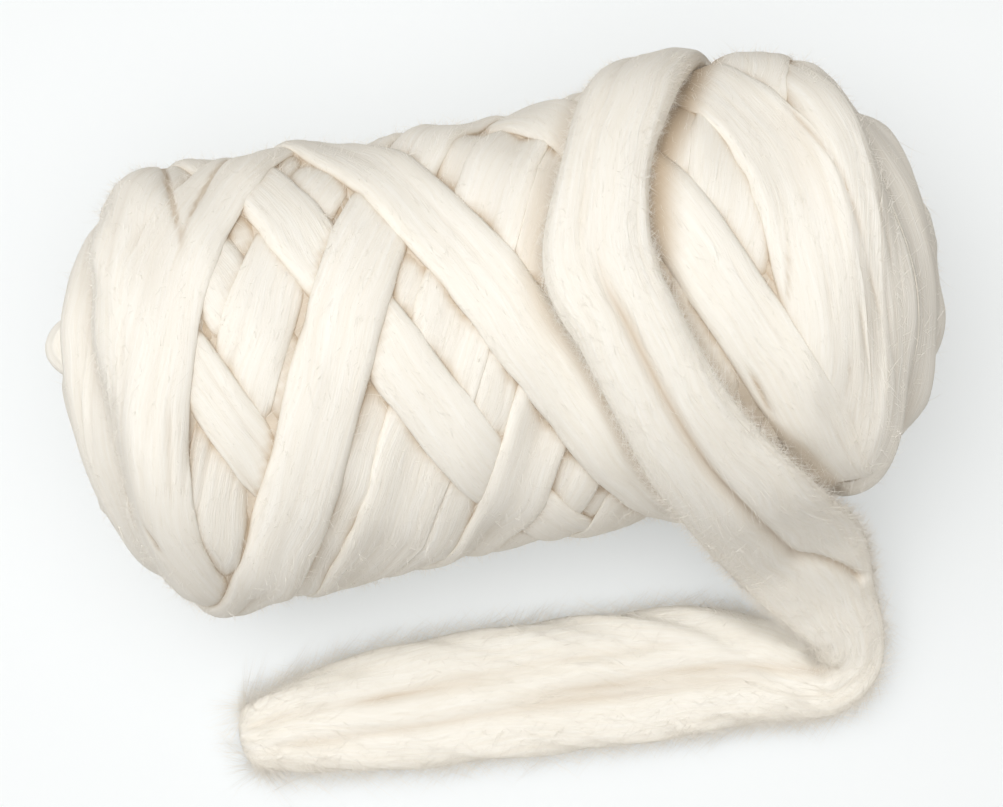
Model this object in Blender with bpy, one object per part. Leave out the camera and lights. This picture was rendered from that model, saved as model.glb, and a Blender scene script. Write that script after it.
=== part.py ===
"""Wool roving, wound into a ball that lies on its side, with one loose end.

Lengths are metres and +Z is up. The ball's long axis is X, the table is the plane z = 0
and the origin is the middle of the ball's footprint. A place on the ball is given by an
angle round the axis (0 on top, 90 at the front, -Y) and a distance along the meridian
(0 at the waist, positive toward +X). The two solids are:

  wound_ball   the cross-wound body: every pass of the roving raises the surface over the
               passes that were laid before it
  loose_end    the last turn: over the top, down the front, folded back on the table
"""

import math

import bpy
import bmesh
import numpy as np
from mathutils import Vector

# ---------------------------------------------------------------- driving sizes
LEFT_END, RIGHT_END = 0.1900, 0.2015    # how far the two ends reach from the waist
END_RADIUS = 0.1005        # the two shoulders
WAIST_RADIUS = 0.0945      # the middle, drawn in a little by the crossing passes
WAIST_SPREAD = 0.085       # how far along the axis the waist reaches
CAP_RIGHT, CAP_LEFT = 0.062, 0.058            # length of each rounded end
CAP_BEND_RIGHT, CAP_BEND_LEFT = (1.5, 1.8), (1.8, 2.0)   # superellipse powers, radius and length
DIMPLE_RADIUS, DIMPLE_DEPTH = 0.017, 0.010    # where the winding closes round its centre
FLAT_DEPTH = 0.006         # how much the ball settles where it rests on the table
SAG = 0.0075               # how much the underside bulges down as the ball settles
SAG_ANGLE, SAG_REACH = 17.0, 0.15    # degrees and metres that the bulge covers

ROVING_WIDTH = 0.030       # flattened on the ball
ROVING_THICKNESS = 0.0095
EDGE_POWER, EDGE_ROUND = 2.6, 0.59    # how blunt the edge of a pass is
TURN_SOFTNESS = 13.0       # degrees over which a bend in a pass is rounded off
SPLICE = 14.0              # degrees shared by one pass and the next
SETTLING = 0.015           # the roving packs down evenly over about this distance
PACKING = 0.50             # share of its height that a pass keeps in the packed ball

LOOSE_CLEARANCE = 0.0006   # between the ball and the turn that lies on it
SEGMENTS, RINGS = 66, 88   # faces round the ball and along its meridian

# The passes that are mostly buried: they alternate, and each starts a little further round.
UNDER_PASSES = 10
UNDER_STEP = 137.5         # degrees from one to the next
UNDER_SWEEP = 440.0        # degrees that one takes to cross the ball
UNDER_PLACE = 160.0        # mm from the waist, where it turns

# The passes that show, in the order of winding. Each row holds a name, a width and a
# thickness (shares of the roving's) and then the places that the pass goes through: degrees
# round the ball, and mm along it.
PASSES = (
    # name, width and thickness (shares), (degrees round the ball, mm along it) ...
    ("deep_1", 1.00, 1.00, (70, -160), (95, -163), (125, -145), (305, 0), (480, 135), (510, 152),
     (535, 152)),
    ("deep_2", 1.00, 1.00, (-35, -160), (-10, -163), (20, -150), (210, 0), (390, 139), (420, 152),
     (445, 152)),
    ("deep_3", 1.00, 1.00, (-90, 150), (-45, 162), (-20, 160), (5, 150), (195, 0), (370, -135),
     (400, -158), (425, -160)),
    ("right_rim_4", 1.20, 0.90, (-100, 120), (-60, 140), (-20, 167), (-5, 175), (14, 181), (36, 177),
     (53, 169), (90, 140), (130, 120)),
    ("right_rim_5", 1.35, 0.80, (-115, 148), (-60, 176), (-20, 194), (14, 202), (36, 201), (60, 193),
     (100, 170), (125, 150)),
    ("left_rim_3", 1.35, 0.70, (-115, -148), (-80, -170), (-39, -188), (-3, -199), (18, -203),
     (40, -203), (57, -198), (100, -175), (125, -155)),
    ("left_loop", 0.75, 2.60, (-116, -232), (-66, -231)),
    ("left_rim_2", 1.35, 0.80, (-110, -110), (-80, -130), (-39, -151), (-3, -167), (18, -177),
     (40, -180), (57, -176), (100, -145), (130, -125)),
    ("rise_6", 1.00, 1.00, (195, -160), (225, -162), (255, -148), (383, -51), (640, 140),
     (683, 156), (717, 161), (750, 157), (784, 144), (815, 120)),
    ("rise_8", 1.00, 1.00, (235, -160), (265, -160), (300, -143), (403, -66), (660, 132),
     (690, 144), (717, 145), (747, 142), (782, 135), (815, 112)),
    ("fall_1", 1.00, 1.00, (50, 139), (60, 131), (339, -79), (376, -110), (410, -135), (440, -150),
     (465, -152)),
    ("rise_1", 0.80, 1.00, (300, -164), (325, -159), (364, -125), (427, -82), (620, 68), (650, 92)),
    ("left_rim_1", 1.50, 0.80, (-120, -95), (-90, -110), (-45, -139), (-12, -149), (19, -156),
     (37, -159), (60, -156), (110, -120), (140, -100)),
    ("fall_2", 1.00, 1.00, (90, 158), (115, 150), (312, 0), (500, -145), (530, -160), (555, -160)),
    ("fall_7", 1.00, 1.00, (230, 158), (255, 148), (316, 100), (432, 6), (610, -135), (640, -158),
     (665, -160)),
    ("fall_5", 1.00, 1.00, (150, 158), (175, 152), (358, 17), (418, -26), (560, -140), (595, -160),
     (620, -160)),
    ("fall_4", 1.15, 1.00, (115, 158), (140, 150), (314, 22), (422, -61), (530, -145), (560, -160),
     (585, -160)),
    ("rise_2", 0.97, 1.05, (180, -160), (205, -164), (235, -150), (320, -86), (418, -8), (570, 120),
     (600, 145), (625, 152)),
    ("fall_6", 1.00, 1.00, (185, 158), (210, 150), (379, 23), (414, -3), (590, -140), (620, -160),
     (645, -160)),
    ("fall_8", 1.30, 0.95, (-130, 158), (-105, 152), (-21, 108), (308, -98), (334, -123),
     (360, -142), (395, -156), (430, -154), (460, -136)),
    ("right_rim_1", 1.20, 1.10, (560, 22), (675, 112), (697, 128), (727, 129), (764, 128),
     (780, 126), (830, 100)),
    ("rise_9", 1.05, 1.10, (80, -147), (110, -130), (140, -100), (352, 78), (382, 99), (414, 123),
     (438, 141)),
    ("fall_3", 1.10, 1.25, (115, 158), (140, 146), (290, -6), (339, -44), (420, -107), (475, -150),
     (500, -162), (525, -160)),
    ("rise_3", 1.08, 1.30, (135, -158), (160, -163), (190, -148), (359, -1), (540, 139), (570, 152),
     (600, 152)),
)
MERGED_EDGES = (
    # pass, side (-1 left, 1 right), degrees where its edge starts to melt away, and stops
    ("fall_8", -1, 310, 480),
    ("rise_9", 1, 395, 480),
    ("rise_9", -1, 405, 480),
    ("left_rim_1", -1, -140, 160),
    ("left_rim_1", 1, -44, 160),
    ("left_rim_2", -1, -140, 160),
    ("left_rim_2", 1, -140, 160),
    ("left_rim_3", -1, -140, 160),
    ("left_rim_3", 1, -140, 160),
    ("right_rim_5", -1, -140, 160),
    ("right_rim_5", 1, -140, 160),
    ("right_rim_1", 1, 680, 830),
    ("rise_8", 1, 660, 815),
    ("rise_8", -1, 690, 815),
    ("rise_6", 1, 660, 815),
    ("rise_6", -1, 690, 815),
    ("right_rim_4", 1, -80, 120),
    ("right_rim_4", -1, -40, 120),
)

# The turns stacked at each end, from the middle of the end outward.
END_TURNS = 7
END_TURN_FIRST = 0.020     # distance of the first one from the pole
END_TURN_STEP = 0.0135
END_TURN_REACH = 125.0     # degrees that one lies on each side of its furthest place
END_TURN_ANGLES = (-95.0, 150.0, 35.0, -20.0, 110.0, -150.0, 5.0)

# The loose turn while it lies on the ball.
LAST_TURN = (
    # degrees, mm along, width, thickness
    (-150, 142, 26, 6),
    (-120, 122, 34, 10),
    (-92, 105, 36, 14),
    (-66, 89, 37, 16),
    (-44, 72, 39, 17),
    (-22, 54, 37, 17),
    (0, 43, 45, 16),
    (16, 50, 42, 16),
    (34, 61, 43, 16),
    (50, 73, 49, 16),
    (68, 90, 57, 16),
)
# The same turn after it leaves the ball: its centre, width, thickness, and the lean of its
# flat side toward the front, from lying flat.
FREE_END = (
    # x,    y,    z, width, thickness (mm), lean (degrees)
    (104, -110, 101, 60, 16, 72),
    (116, -119, 74, 61, 16, 62),
    (124, -130, 57, 56, 16, 46),
    (131, -142, 42, 46, 17, 28),
    (138, -157, 28, 36, 19, 8),
    (138, -171, 16, 32, 20, 0),
    (127, -178, 10.5, 35, 20, 0),
    (111, -174, 10.5, 43, 21, 0),
    (92, -168, 10.5, 51, 21, 0),
    (66, -162, 10, 60, 20, 0),
    (30, -159, 9.5, 63, 19, 0),
    (-16, -155, 9.5, 62, 19, 0),
    (-62, -153, 9.5, 61, 19, 0),
    (-108, -152, 9.0, 50, 18, 0),
    (-138, -152, 8.0, 36, 15, 0),
    (-154, -153, 6.5, 26, 11, 0),
)

GRID_TURN, GRID_ALONG = 300, 220    # cells of the height map, round and along the ball


# ---------------------------------------------------------------- the plain body
def smooth_step(value):
    value = np.clip(value, 0.0, 1.0)
    return value * value * (3.0 - 2.0 * value)


def cap_points(length, bend, count):
    """One rounded end, from its pole to where the barrel starts: distance from the barrel, radius."""
    turn = np.linspace(0.0, math.pi / 2.0, count)
    radius = END_RADIUS * np.sin(turn) ** (2.0 / bend[0])
    return length * np.cos(turn) ** (2.0 / bend[1]), radius


def meridian():
    """The ball's outline in the (x, radius) plane, from the left pole to the right one."""
    left_x, left_r = cap_points(CAP_LEFT, CAP_BEND_LEFT, 80)
    right_x, right_r = cap_points(CAP_RIGHT, CAP_BEND_RIGHT, 80)
    left_start, right_start = CAP_LEFT - LEFT_END, RIGHT_END - CAP_RIGHT
    barrel = np.linspace(left_start, right_start, 90)[1:-1]
    x = np.concatenate([left_start - left_x, barrel, (right_start + right_x)[::-1]])
    r = np.concatenate([left_r, np.full(barrel.size, END_RADIUS), right_r[::-1]])
    waist = (END_RADIUS - WAIST_RADIUS) * np.exp(-((x / WAIST_SPREAD) ** 2))
    r = np.maximum(r - waist * (r / END_RADIUS), 0.0)
    x = x - np.sign(x) * DIMPLE_DEPTH * (1.0 - smooth_step(r / DIMPLE_RADIUS))
    along = np.concatenate([[0.0], np.cumsum(np.hypot(np.diff(x), np.diff(r)))])
    waist_place = np.interp(0.0, x, along)
    return along - waist_place, x, r


ALONG, OUTLINE_X, OUTLINE_R = meridian()
LEFT_POLE, RIGHT_POLE = ALONG[0], ALONG[-1]


def radius_at(place):
    return np.interp(place, ALONG, OUTLINE_R)


def surface_point(angle, place, lift):
    """A point `lift` metres outside the ball's outline; angle in degrees, place in metres."""
    step = 0.004
    x = np.interp(place, ALONG, OUTLINE_X)
    r = radius_at(place)
    tangent_x = np.interp(place + step, ALONG, OUTLINE_X) - np.interp(place - step, ALONG, OUTLINE_X)
    tangent_r = radius_at(place + step) - radius_at(place - step)
    size = np.hypot(tangent_x, tangent_r) + 1e-12
    out_x, out_r = -tangent_r / size, tangent_x / size
    out_r = out_r * smooth_step(r / 0.03)
    x, r = x + out_x * lift, r + out_r * lift
    turn = np.radians(angle)
    return np.stack([x, -r * np.sin(turn), r * np.cos(turn)], axis=-1)


# ---------------------------------------------------------------- the winding
def blur(field, round_sigma, along_sigma):
    """Gaussian blur of the height map, joined up round the ball and mirrored at its ends."""
    tall = np.concatenate([field[:, ::-1], field, field[:, ::-1]], axis=1)
    freq_round = np.fft.fftfreq(tall.shape[0])[:, None] * 2.0 * math.pi
    freq_along = np.fft.fftfreq(tall.shape[1])[None, :] * 2.0 * math.pi
    gain = np.exp(-0.5 * ((freq_round * round_sigma) ** 2 + (freq_along * along_sigma) ** 2))
    tall = np.real(np.fft.ifft2(np.fft.fft2(tall) * gain))
    return tall[:, field.shape[1]:2 * field.shape[1]]


def look_up(field, angle, place):
    """Read the height map between its cells."""
    u = (np.asarray(angle) / 360.0 * GRID_TURN) % GRID_TURN
    v = (np.asarray(place) - LEFT_POLE) / (RIGHT_POLE - LEFT_POLE) * GRID_ALONG - 0.5
    v = np.clip(v, 0.0, GRID_ALONG - 1.001)
    i, j = np.floor(u).astype(int), np.floor(v).astype(int)
    a, b = u - i, v - j
    i, k = i % GRID_TURN, (i + 1) % GRID_TURN
    return ((field[i, j] * (1 - a) + field[k, j] * a) * (1 - b)
            + (field[i, j + 1] * (1 - a) + field[k, j + 1] * a) * b)


def raise_field(field, angle, place, height):
    """Lift each cell that a pass covers to at least the height of the pass."""
    i = np.round(np.asarray(angle) / 360.0 * GRID_TURN).astype(int) % GRID_TURN
    j = np.round((place - LEFT_POLE) / (RIGHT_POLE - LEFT_POLE) * GRID_ALONG - 0.5).astype(int)
    j = np.clip(j, 0, GRID_ALONG - 1)
    np.maximum.at(field, (i.ravel(), j.ravel()), height.ravel())


def soften(values, half, axis):
    """Moving average along one axis of a strip."""
    width = 2 * half + 1
    pad = [(0, 0), (0, 0)]
    pad[axis] = (half + 1, half)
    sums = np.cumsum(np.pad(values, pad, mode="edge"), axis=axis)
    upper = np.take(sums, np.arange(width, sums.shape[axis]), axis=axis)
    lower = np.take(sums, np.arange(0, sums.shape[axis] - width), axis=axis)
    return (upper - lower) / width


def pass_route(knots):
    """Angles (degrees) and places (metres) along one pass, with its bends rounded off."""
    knots = np.array(knots, dtype=float)
    angle = np.arange(knots[0, 0], knots[-1, 0] + 0.5, 1.0)
    first = (knots[1] - knots[0]) / (knots[1, 0] - knots[0, 0])
    last = (knots[-1] - knots[-2]) / (knots[-1, 0] - knots[-2, 0])
    reach = 3.0 * TURN_SOFTNESS
    knots = np.vstack([knots[0] - first * reach, knots, knots[-1] + last * reach])
    place, weights = np.zeros_like(angle), 0.0
    for offset in np.linspace(-2.5, 2.5, 21):
        weight = math.exp(-0.5 * offset * offset)
        place += weight * np.interp(angle + offset * TURN_SOFTNESS, knots[:, 0], knots[:, 1])
        weights += weight
    return angle, place / weights / 1000.0


def under_pass(number):
    """The places that one of the buried passes goes through."""
    side = 1 if number % 2 else -1
    start = number * UNDER_STEP
    return ((start - 25.0, side * UNDER_PLACE), (start, side * UNDER_PLACE),
            (start + UNDER_SWEEP, -side * UNDER_PLACE),
            (start + UNDER_SWEEP + 25.0, -side * UNDER_PLACE))


def end_turn_route(side, number):
    """One of the turns stacked at an end: it bulges toward the pole at its own angle."""
    middle = END_TURN_ANGLES[number] + (40.0 if side < 0 else 0.0)
    pole = RIGHT_POLE if side > 0 else -LEFT_POLE
    furthest = pole - END_TURN_FIRST - number * END_TURN_STEP
    angle = middle + np.arange(-END_TURN_REACH, END_TURN_REACH, 1.0)
    swing = np.sqrt(((angle - middle) / 60.0) ** 2 + 1.0) - 1.0
    return angle, side * (furthest - 0.016 * swing)


def merging(name, angle):
    """How far each edge of a pass has melted into its neighbour: 0 crisp, 1 gone."""
    share = np.zeros((angle.size, 2))
    for merged, side, start, stop in MERGED_EDGES:
        if merged == name:
            window = smooth_step((angle - start) / 14.0) * smooth_step((stop - angle) / 14.0)
            share[:, (side + 1) // 2] = np.maximum(share[:, (side + 1) // 2], window)
    return share


def section(offsets, merge):
    """Height of a strand's top across it, from 0 at its edges to 1."""
    offsets = offsets[None, :]
    crisp = (1.0 - np.abs(offsets) ** EDGE_POWER) ** EDGE_ROUND
    melted = 1.0 - smooth_step((np.abs(offsets) + 0.25) / 1.25)
    melted = melted / melted.max()
    share = np.where(offsets < 0.0, merge[:, :1], merge[:, 1:])
    return crisp * (1.0 - share) + melted * share


def lay(field, angle, place, width, thickness, merge):
    """Lay one strip of roving over the height map."""
    across = np.linspace(-1.0, 1.0, 17)
    step_along = np.gradient(place)
    step_round = np.gradient(np.radians(angle)) * np.maximum(radius_at(place), 0.012)
    size = np.hypot(step_along, step_round)
    side_along, side_round = step_round / size, -step_along / size
    ends = np.minimum(angle - angle[0], angle[-1] - angle)
    taper = smooth_step(ends / (2.0 * SPLICE))
    half = 0.5 * width * (0.55 + 0.45 * taper)[:, None] * across[None, :]
    wide_place = place[:, None] + half * side_along[:, None]
    wide_angle = angle[:, None] + np.degrees(
        half * side_round[:, None] / np.maximum(radius_at(place), 0.012)[:, None])
    under = look_up(field, wide_angle, wide_place)
    bed = soften(soften(under, 7, 0), 3, 1)
    rise = thickness * taper[:, None] * section(across, merge)
    top = np.maximum(bed + rise, under + 0.6 * rise)
    fine = np.linspace(-1.0, 1.0, 49)
    rows = np.linspace(0, angle.size - 1, angle.size * 3)
    columns = (fine + 1.0) / 2.0 * (across.size - 1)
    raise_field(field, stretch(wide_angle, rows, columns), stretch(wide_place, rows, columns),
                stretch(top, rows, columns))


def stretch(values, rows, columns):
    """Resample a strip at finer rows and columns."""
    i = np.minimum(rows.astype(int), values.shape[0] - 2)
    j = np.minimum(columns.astype(int), values.shape[1] - 2)
    a, b = (rows - i)[:, None], (columns - j)[None, :]
    low = values[i][:, j] * (1 - b) + values[i][:, j + 1] * b
    high = values[i + 1][:, j] * (1 - b) + values[i + 1][:, j + 1] * b
    return low * (1 - a) + high * a


def wind():
    """Height of the wound surface over the ball's outline, everywhere on the ball."""
    field = np.zeros((GRID_TURN, GRID_ALONG))
    for side in (-1, 1):
        for number in range(END_TURNS):
            angle, place = end_turn_route(side, number)
            lay(field, angle, place, ROVING_WIDTH, ROVING_THICKNESS, np.full((angle.size, 2), 0.7))
    for number in range(UNDER_PASSES):
        angle, place = pass_route(under_pass(number))
        lay(field, angle, place, ROVING_WIDTH, ROVING_THICKNESS, np.zeros((angle.size, 2)))
    for name, width, thickness, *knots in PASSES:
        angle, place = pass_route(knots)
        lay(field, angle, place, ROVING_WIDTH * width, ROVING_THICKNESS * thickness,
            merging(name, angle))
    cell_round = 2.0 * math.pi * END_RADIUS / GRID_TURN
    cell_along = (RIGHT_POLE - LEFT_POLE) / GRID_ALONG
    even = blur(field, SETTLING / cell_round, SETTLING / cell_along)
    field = PACKING * (field - even)
    angle = (np.arange(GRID_TURN) * 360.0 / GRID_TURN)[:, None]
    place = LEFT_POLE + (np.arange(GRID_ALONG) + 0.5)[None, :] * cell_along
    bulge = np.exp(-((angle - 180.0) / SAG_ANGLE) ** 2)
    return field + SAG * bulge * (1.0 - smooth_step(np.abs(place) / SAG_REACH) ** 2)


# ---------------------------------------------------------------- solids
def new_object(name, mesh, colour, roughness):
    material = bpy.data.materials.new(name)
    material.use_nodes = True
    shader = material.node_tree.nodes["Principled BSDF"]
    shader.inputs["Base Color"].default_value = colour
    shader.inputs["Roughness"].default_value = roughness
    shader.inputs["Metallic"].default_value = 0.0
    for polygon in mesh.polygons:
        polygon.use_smooth = True
    mesh.materials.append(material)
    return bpy.data.objects.new(name, mesh)


def ball_mesh(name, heights, extra, drop):
    """The ball, raised by its winding plus `extra`, and lowered by `drop` onto the table.

    Each four-sided face is split along the diagonal that climbs least, so that the edges
    run along the passes instead of across them.
    """
    made = bmesh.new()
    bmesh.ops.create_uvsphere(made, u_segments=SEGMENTS, v_segments=RINGS, radius=1.0)
    spots = np.array([vert.co[:] for vert in made.verts])
    share = np.arccos(np.clip(-spots[:, 2], -1.0, 1.0)) / math.pi     # 0 left pole, 1 right
    angle = np.degrees(np.arctan2(spots[:, 1], spots[:, 0]))
    angle[np.hypot(spots[:, 0], spots[:, 1]) < 1e-6] = 0.0
    place = LEFT_POLE + share * (RIGHT_POLE - LEFT_POLE)
    lift = look_up(heights, angle, place)
    points = surface_point(angle, place, lift + extra)
    points[:, 2] -= drop
    for vert, point in zip(made.verts, points):
        vert.co = Vector(point)
    made.verts.index_update()
    for face in [f for f in made.faces if len(f.verts) == 4]:
        a, b, c, d = face.verts
        first = abs(lift[a.index] - lift[c.index])
        second = abs(lift[b.index] - lift[d.index])
        bmesh.utils.face_split(face, *((a, c) if first <= second else (b, d)))
    if made.calc_volume(signed=True) < 0.0:
        bmesh.ops.reverse_faces(made, faces=made.faces[:])
    mesh = bpy.data.meshes.new(name)
    made.to_mesh(mesh)
    made.free()
    return mesh


def rest_on_table(mesh):
    """Press the underside level: nothing of the ball goes below the table at z = 0."""
    for vert in mesh.vertices:
        vert.co.z = max(vert.co.z, 0.0)


def spline(rows, steps):
    """A smooth curve through the rows of a table (each column is carried along)."""
    rows = np.array(rows, dtype=float)
    padded = np.vstack([2 * rows[0] - rows[1], rows, 2 * rows[-1] - rows[-2]])
    pieces = []
    for k in range(1, len(padded) - 2):
        t = np.linspace(0.0, 1.0, steps, endpoint=False)[:, None]
        p0, p1, p2, p3 = padded[k - 1:k + 3]
        pieces.append(0.5 * (2 * p1 + (p2 - p0) * t + (2 * p0 - 5 * p1 + 4 * p2 - p3) * t ** 2
                             + (3 * p1 - p0 - 3 * p2 + p3) * t ** 3))
    pieces.append(rows[-1:])
    return np.vstack(pieces)


def loose_rows(heights, drop):
    """Centre, outward direction, width and thickness along the loose end, ball part first."""
    rows = []
    for angle, place, width, thick in LAST_TURN:
        near = place / 1000.0
        spread = look_up(heights, angle + np.array([-8, 0, 8, 0, 0]),
                         near + np.array([0, -0.01, 0, 0.01, 0]))
        lift = float(spread.max()) + 0.36 * thick / 1000.0
        centre = surface_point(angle, near, lift)
        outward = surface_point(angle, near, lift + 0.01) - centre
        outward /= np.linalg.norm(outward)
        rows.append([*(centre - np.array([0, 0, drop])), *outward, width / 1000.0, thick / 1000.0])
    for x, y, z, width, thick, lean in FREE_END:
        tilt = math.radians(lean)
        rows.append([x / 1000.0, y / 1000.0, z / 1000.0, 0.0, -math.sin(tilt), math.cos(tilt),
                     width / 1000.0, thick / 1000.0])
    return rows


def loose_mesh(name, rows):
    """Loft a flattened round section along the loose end and close it at both tips."""
    line = spline(rows, 4)
    centres, widths, thicks = line[:, :3], line[:, 6], line[:, 7]
    tangents = np.gradient(centres, axis=0)
    tangents /= np.linalg.norm(tangents, axis=1)[:, None]
    sides = np.cross(tangents[0], line[0, 3:6])
    frames = []
    for tangent, hint in zip(tangents, line[:, 3:6]):
        side = np.cross(tangent, hint)
        length = np.linalg.norm(side)
        if length > 0.35:
            side = side / length
            side = side if np.dot(side, sides) > 0 else -side
        else:
            side = sides - tangent * np.dot(sides, tangent)
            side /= np.linalg.norm(side)
        sides = side
        frames.append((side, np.cross(side, tangent)))
    around = 20
    made = bmesh.new()
    rings = []
    for centre, width, thick, (side, normal) in zip(centres, widths, thicks, frames):
        ring = []
        for k in range(around):
            turn = 2.0 * math.pi * k / around
            c, s = math.cos(turn), math.sin(turn)
            flat = abs(c) ** 0.9 * math.copysign(1.0, c) * width / 2
            high = abs(s) ** 0.75 * math.copysign(1.0, s) * thick / 2
            point = centre + side * flat + normal * high
            point[2] = max(point[2], 0.0)
            ring.append(made.verts.new(point))
        rings.append(ring)
    for first, second in zip(rings, rings[1:]):
        for k in range(around):
            made.faces.new((first[k], first[(k + 1) % around],
                            second[(k + 1) % around], second[k]))
    for ring in (rings[0], rings[-1]):
        tip = made.verts.new(sum((v.co for v in ring), Vector()) / around)
        for k in range(around):
            made.faces.new((ring[k], ring[(k + 1) % around], tip))
    bmesh.ops.recalc_face_normals(made, faces=made.faces)
    if made.calc_volume(signed=True) < 0.0:
        bmesh.ops.reverse_faces(made, faces=made.faces[:])
    mesh = bpy.data.meshes.new(name)
    made.to_mesh(mesh)
    made.free()
    return mesh


def stand_on_origin(ball, others):
    """Slide everything along the table until the middle of the ball's footprint is the origin."""
    spots = np.array([vert.co[:] for vert in ball.data.vertices])
    middle = (spots.min(axis=0) + spots.max(axis=0)) / 2.0
    for item in [ball, *others]:
        for vert in item.data.vertices:
            vert.co.x -= middle[0]
            vert.co.y -= middle[1]


def cut_clear(target, cutter):
    """Take the cutter's shape out of the target."""
    change = target.modifiers.new("clear_of_ball", "BOOLEAN")
    change.operation = "DIFFERENCE"
    change.solver = "EXACT"
    change.object = cutter


def build():
    for old in list(bpy.data.objects):
        bpy.data.objects.remove(old, do_unlink=True)
    part = bpy.data.collections.new("wool_roving_ball")
    cutters = bpy.data.collections.new("cutters")
    for collection in (part, cutters):
        bpy.context.scene.collection.children.link(collection)

    heights = wind()
    centre_height = END_RADIUS - FLAT_DEPTH
    ball = new_object("wound_ball", ball_mesh("wound_ball", heights, 0.0, -centre_height),
                      (0.87, 0.84, 0.76, 1.0), 0.95)
    part.objects.link(ball)
    rest_on_table(ball.data)

    loose = new_object("loose_end", loose_mesh("loose_end", loose_rows(heights, -centre_height)),
                       (0.88, 0.85, 0.77, 1.0), 0.95)
    part.objects.link(loose)
    swollen = new_object("ball_clearance",
                         ball_mesh("ball_clearance", heights, LOOSE_CLEARANCE, -centre_height),
                         (0.5, 0.5, 0.5, 1.0), 0.9)
    swollen.hide_render = True
    swollen.display_type = "WIRE"
    cutters.objects.link(swollen)
    stand_on_origin(ball, [loose, swollen])
    cut_clear(loose, swollen)
    return ball, loose


ball_out = build()
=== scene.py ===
# %% [markdown]
# # A ball of wool roving
#
# Roving is carded wool drawn out into a soft, thick strand with hardly any twist. Here it is
# cross-wound into a ball that lies on its side, and its last turn comes over the top, falls
# down the front and folds back on the table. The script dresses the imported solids: every
# pass of the strand becomes a soft flat tube of its own, laid over the ones before it.

# %% The frame
import math
import bpy
import numpy as np
from mathutils import Matrix, Vector
from mathutils.kdtree import KDTree


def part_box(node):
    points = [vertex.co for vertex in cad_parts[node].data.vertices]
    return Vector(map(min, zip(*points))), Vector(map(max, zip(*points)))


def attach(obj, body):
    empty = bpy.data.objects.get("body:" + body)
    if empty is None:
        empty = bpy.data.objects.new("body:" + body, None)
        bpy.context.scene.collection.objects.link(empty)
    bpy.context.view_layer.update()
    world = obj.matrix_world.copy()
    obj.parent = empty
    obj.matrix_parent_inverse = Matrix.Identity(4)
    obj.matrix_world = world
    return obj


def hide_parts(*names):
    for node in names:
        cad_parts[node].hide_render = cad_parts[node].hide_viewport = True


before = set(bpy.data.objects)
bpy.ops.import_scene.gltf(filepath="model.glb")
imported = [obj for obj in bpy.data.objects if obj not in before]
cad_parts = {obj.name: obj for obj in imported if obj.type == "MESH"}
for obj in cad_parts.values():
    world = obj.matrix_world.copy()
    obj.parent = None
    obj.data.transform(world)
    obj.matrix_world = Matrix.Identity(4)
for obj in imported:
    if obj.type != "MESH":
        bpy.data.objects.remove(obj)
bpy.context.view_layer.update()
ball_low, ball_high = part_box("wound_ball")
print("ball", [round(v, 3) for v in ball_high - ball_low], "solids", sorted(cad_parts))

# %% [markdown]
# ## Camera
#
# The ball is seen from almost straight above with a long lens, a little from the left. The
# aim is worked out from where the middle of the ball sits in the picture, so that the lens,
# the distance and the angle stay three plain numbers.

# %% Camera
PICTURE_WIDTH, PICTURE_HEIGHT = 1003, 807
LENS, SENSOR = 70.0, 36.0
CAMERA_DISTANCE = 0.8795
CAMERA_AZIMUTH, CAMERA_ELEVATION = math.radians(-10.9), math.radians(80.0)
BALL_PIXEL = (506.7, 331.8)
BALL_CENTRE = Vector((0.0029, -0.0005, 0.094))


def add_camera():
    azimuth, elevation = CAMERA_AZIMUTH, CAMERA_ELEVATION
    back = Vector((math.sin(azimuth) * math.cos(elevation),
                   -math.cos(azimuth) * math.cos(elevation), math.sin(elevation)))
    right = Vector((math.cos(azimuth), math.sin(azimuth), 0.0))
    up = back.cross(right)
    metres_per_pixel = CAMERA_DISTANCE * SENSOR / (LENS * PICTURE_WIDTH)
    across = (BALL_PIXEL[0] - PICTURE_WIDTH / 2) * metres_per_pixel
    down = (BALL_PIXEL[1] - PICTURE_HEIGHT / 2) * metres_per_pixel
    place = BALL_CENTRE + back * CAMERA_DISTANCE - right * across + up * down
    bpy.ops.object.camera_add(location=place)
    camera = bpy.context.object
    camera.name = "camera"
    camera.data.lens = LENS
    camera.data.sensor_width = SENSOR
    camera.matrix_world = Matrix.Translation(place) @ Matrix(
        (right, up, back)).transposed().to_4x4()
    bpy.context.scene.camera = camera
    return right, up, back


view_right, view_up, view_back = add_camera()
print("camera at", [round(v, 3) for v in bpy.context.scene.camera.location])

# %% [markdown]
# ## The plain body under the winding
#
# A wound ball is a body of revolution, so a point on it needs only two numbers: the angle
# round the axis and the distance along the meridian. Everything that follows, the passes,
# the relief and the loose fibres, is placed with those two numbers and a height above this
# body. The sizes are those of the solid, and the body slides so that both agree.

# %% Outline of the body
LEFT_END, RIGHT_END = 0.1900, 0.2015
END_RADIUS, WAIST_RADIUS, WAIST_SPREAD = 0.1005, 0.0945, 0.085
CAP_RIGHT, CAP_LEFT = 0.062, 0.058
CAP_BEND_RIGHT, CAP_BEND_LEFT = (1.5, 1.8), (1.8, 2.0)
DIMPLE_RADIUS, DIMPLE_DEPTH = 0.017, 0.010
FLAT_DEPTH = 0.006
SAG, SAG_ANGLE, SAG_REACH = 0.0075, 17.0, 0.15
SLOPE_STEP, POLE_SOFTNESS = 0.004, 0.03


def smooth_step(value):
    value = np.clip(value, 0.0, 1.0)
    return value * value * (3.0 - 2.0 * value)


def cap_points(length, bend, count):
    turn = np.linspace(0.0, math.pi / 2.0, count)
    radius = END_RADIUS * np.sin(turn) ** (2.0 / bend[0])
    return length * np.cos(turn) ** (2.0 / bend[1]), radius


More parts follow.
